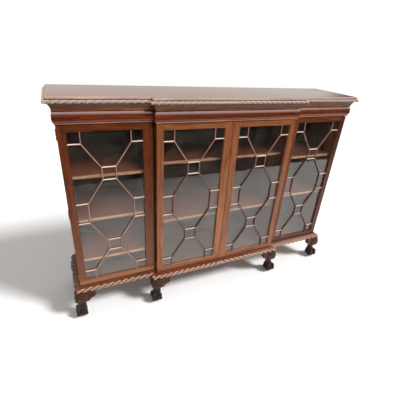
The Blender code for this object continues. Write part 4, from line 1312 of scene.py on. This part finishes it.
# Carved rolls with pale crests, partly rubbed and partly a painted highlight, and hollows darkened
# by dirt and painted shade. The base's left end is dark all over: painted shade
CARVED = {"roughness": 0.3, "coat": 0.6, "gloss": 0.5}
edge_wood = wood(
    "carved_mahogany_edge", EDGE_WOOD, **CARVED, wear_and_shade=("b8a89c", 0.50, 0.54, 0.44, 0.495)
)
base_carved_wood = wood(
    "carved_mahogany_base", BASE_WOOD, **CARVED, wear_and_shade=("b48c74", 0.505, 0.56, 0.43, 0.49)
)
shaded_base_end_wood = wood("carved_mahogany_base_end_painted_shade", BASE_END_SHADE_WOOD, roughness=0.3, coat=0.3)
# Glazing bars: sides darkened with painted shade, crests paler, partly rubbed and partly a painted
# highlight, and tops that face up paler still, with painted light from above. The crests carry
# painted shade low down, but not in the left wing door, and the tops' painted light fades low down
shaded_bar_side_wood = wood("mahogany_bar_sides_painted_shade", BAR_SHADED_SIDE_WOOD)
wing_bar_wood = wood("rubbed_highlit_mahogany_left_bar_crests", BAR_WOOD)
bar_wood = wood("rubbed_highlit_mahogany_bar_crests_shaded_low", BAR_WOOD, blends=[("2a1a12", "Z", 1.0, 0.72)])
lit_bar_top_wood = wood("mahogany_bar_tops_painted_light", BAR_LIT_TOP_WOOD, blends=[("a08c7e", "Z", 1.1, 0.3)])
# Feet stained almost black, with pale crests that are partly rubbed and partly a painted highlight,
# dirt and painted shade in the hollows, and darkest low down
foot_wood = wood(
    "carved_stained_mahogany_feet",
    FOOT_WOOD,
    "z",
    roughness=0.22,
    coat=0.1,
    gloss=0.15,
    wear_and_shade=("a48258", 0.53, 0.60, 0.43, 0.495),
    blends=[("120a06", "Z", 0.115, 0.085)],
)
brass = aged_brass("filed_aged_brass")
glass = window_glass("drawn_window_glass")

camera()
studio()
studio_room()

roll_tree = carved_roll_tree()
edge_sizes = {
    "Roll Offset": EDGE_PROJECTION - EDGE_ROLL_RADIUS,
    "Roll Height": TOP_BOTTOM_Z + EDGE_ROLL_RADIUS,
    "Roll Radius": EDGE_ROLL_RADIUS,
    "Rise Share": 1.0,
    "Carving Depth": EDGE_CARVING_DEPTH,
    "Pitch": EDGE_PITCH,
    "Lean": EDGE_LEAN,
    "Lobe Half Share": 0.30,
    "Reed Half Share": 0.17,
    "Reed Height": 0.72,
    "Lobe End": 0.8,
    "Sides": EDGE_SIDES,
}
base_sizes = {
    "Roll Offset": BASE_PROJECTION - BASE_ROLL_RADIUS,
    "Roll Height": BASE_BOTTOM_Z + BASE_ROLL_RISE,
    "Roll Radius": BASE_ROLL_RADIUS,
    "Rise Share": BASE_ROLL_RISE / BASE_ROLL_RADIUS,
    "Carving Depth": BASE_CARVING_DEPTH,
    "Pitch": BASE_PITCH,
    "Lean": BASE_LEAN,
    "Lobe Half Share": 0.40,
    "Reed Half Share": 0.03,
    "Reed Height": 0.1,
    "Lobe End": 0.93,
    "Sides": BASE_SIDES,
}

top = moulding("top_polished_board", top_profile(), TOP_BACK_Y, top_wood)
# The rounded shoulder takes the pale finish: a painted reflection
refinish(top, TOP_Z - EDGE_SHOULDER - CORE_LAP, TOP_Z - WELD, shoulder_sheen_wood)
put(top, "case", "top_board")
top_edge = carved_roll("top_gadroon_edge", roll_tree, TOP_BACK_Y, EDGE_STEP, edge_sizes, edge_wood)
put(top_edge, "case", "top_board")
base = moulding("base_polished_board", base_profile(), BACK_Y, base_wood)
# The case's bottom takes the dark unpolished finish: painted shade inside the case
refinish(base, BASE_TOP_Z - WELD, BASE_TOP_Z + WELD, shaded_case_bottom_wood)
put(base, "case", "base_board")
base_edge = carved_roll(
    "base_gadroon_edge", roll_tree, BACK_Y, BASE_STEP, base_sizes, base_carved_wood
)
# The carved roll's left end takes the dark finish: painted shade
refinish(base_edge, cad_box[0][0], -BODY_X - BASE_END_MARGIN, shaded_base_end_wood, axis=0)
put(base_edge, "case", "base_board")
frieze = moulding("frieze_and_cove", cornice_profile(), BACK_Y, frieze_wood, hollow=True)
refinish(frieze, CORNICE_BOTTOM_Z + FRIEZE_HEIGHT, CORNICE_TOP_Z, cove_wood)
# The bead takes the paler finish: a painted highlight
refinish(frieze, CORNICE_BOTTOM_Z + WELD, CORNICE_BOTTOM_Z + FRIEZE_BEAD_HEIGHT - WELD, highlit_bead_wood)
put(frieze, "case", "cornice_moulding")
put(back_boards(back_wood), "case", "back_panel")

wing_woods = {"left_wing_door": left_door_wood, "right_wing_door": right_door_wood}
for number, door in enumerate(DOORS, start=1):
    frame_wood = wing_woods.get(door, centre_door_wood)
    put(door_frame(door, number, frame_wood), door, door + "_frame")
    crest_wood = wing_bar_wood if door == "left_wing_door" else bar_wood
    bar_woods = (shaded_bar_side_wood, frame_wood, crest_wood, lit_bar_top_wood)
    put(astragals(door, bar_woods), door, door + "_astragals")

carved = foot_mesh()
for place_name, end in (("front", 1), ("centre", 1), ("rear", -1)):
    for side_name, side in (("left", -1), ("right", 1)):
        name = f"{place_name}_{side_name}_foot"
        put(foot(name, carved, side, end, foot_wood), "case", name)

finishes = (
    ("end_panel", upright_wood),
    ("division", upright_wood),
    ("case_top", inner_wood),
    ("shelf", shelf_wood),
    ("glass", glass),
    ("leaf", brass),
    ("lock", brass),
)
for name, obj in nodes.items():
    for ending, material in finishes:
        if name.endswith(ending):
            obj.data.materials.clear()
            obj.data.materials.append(material)

bpy.context.scene.view_settings.view_transform = "Standard"
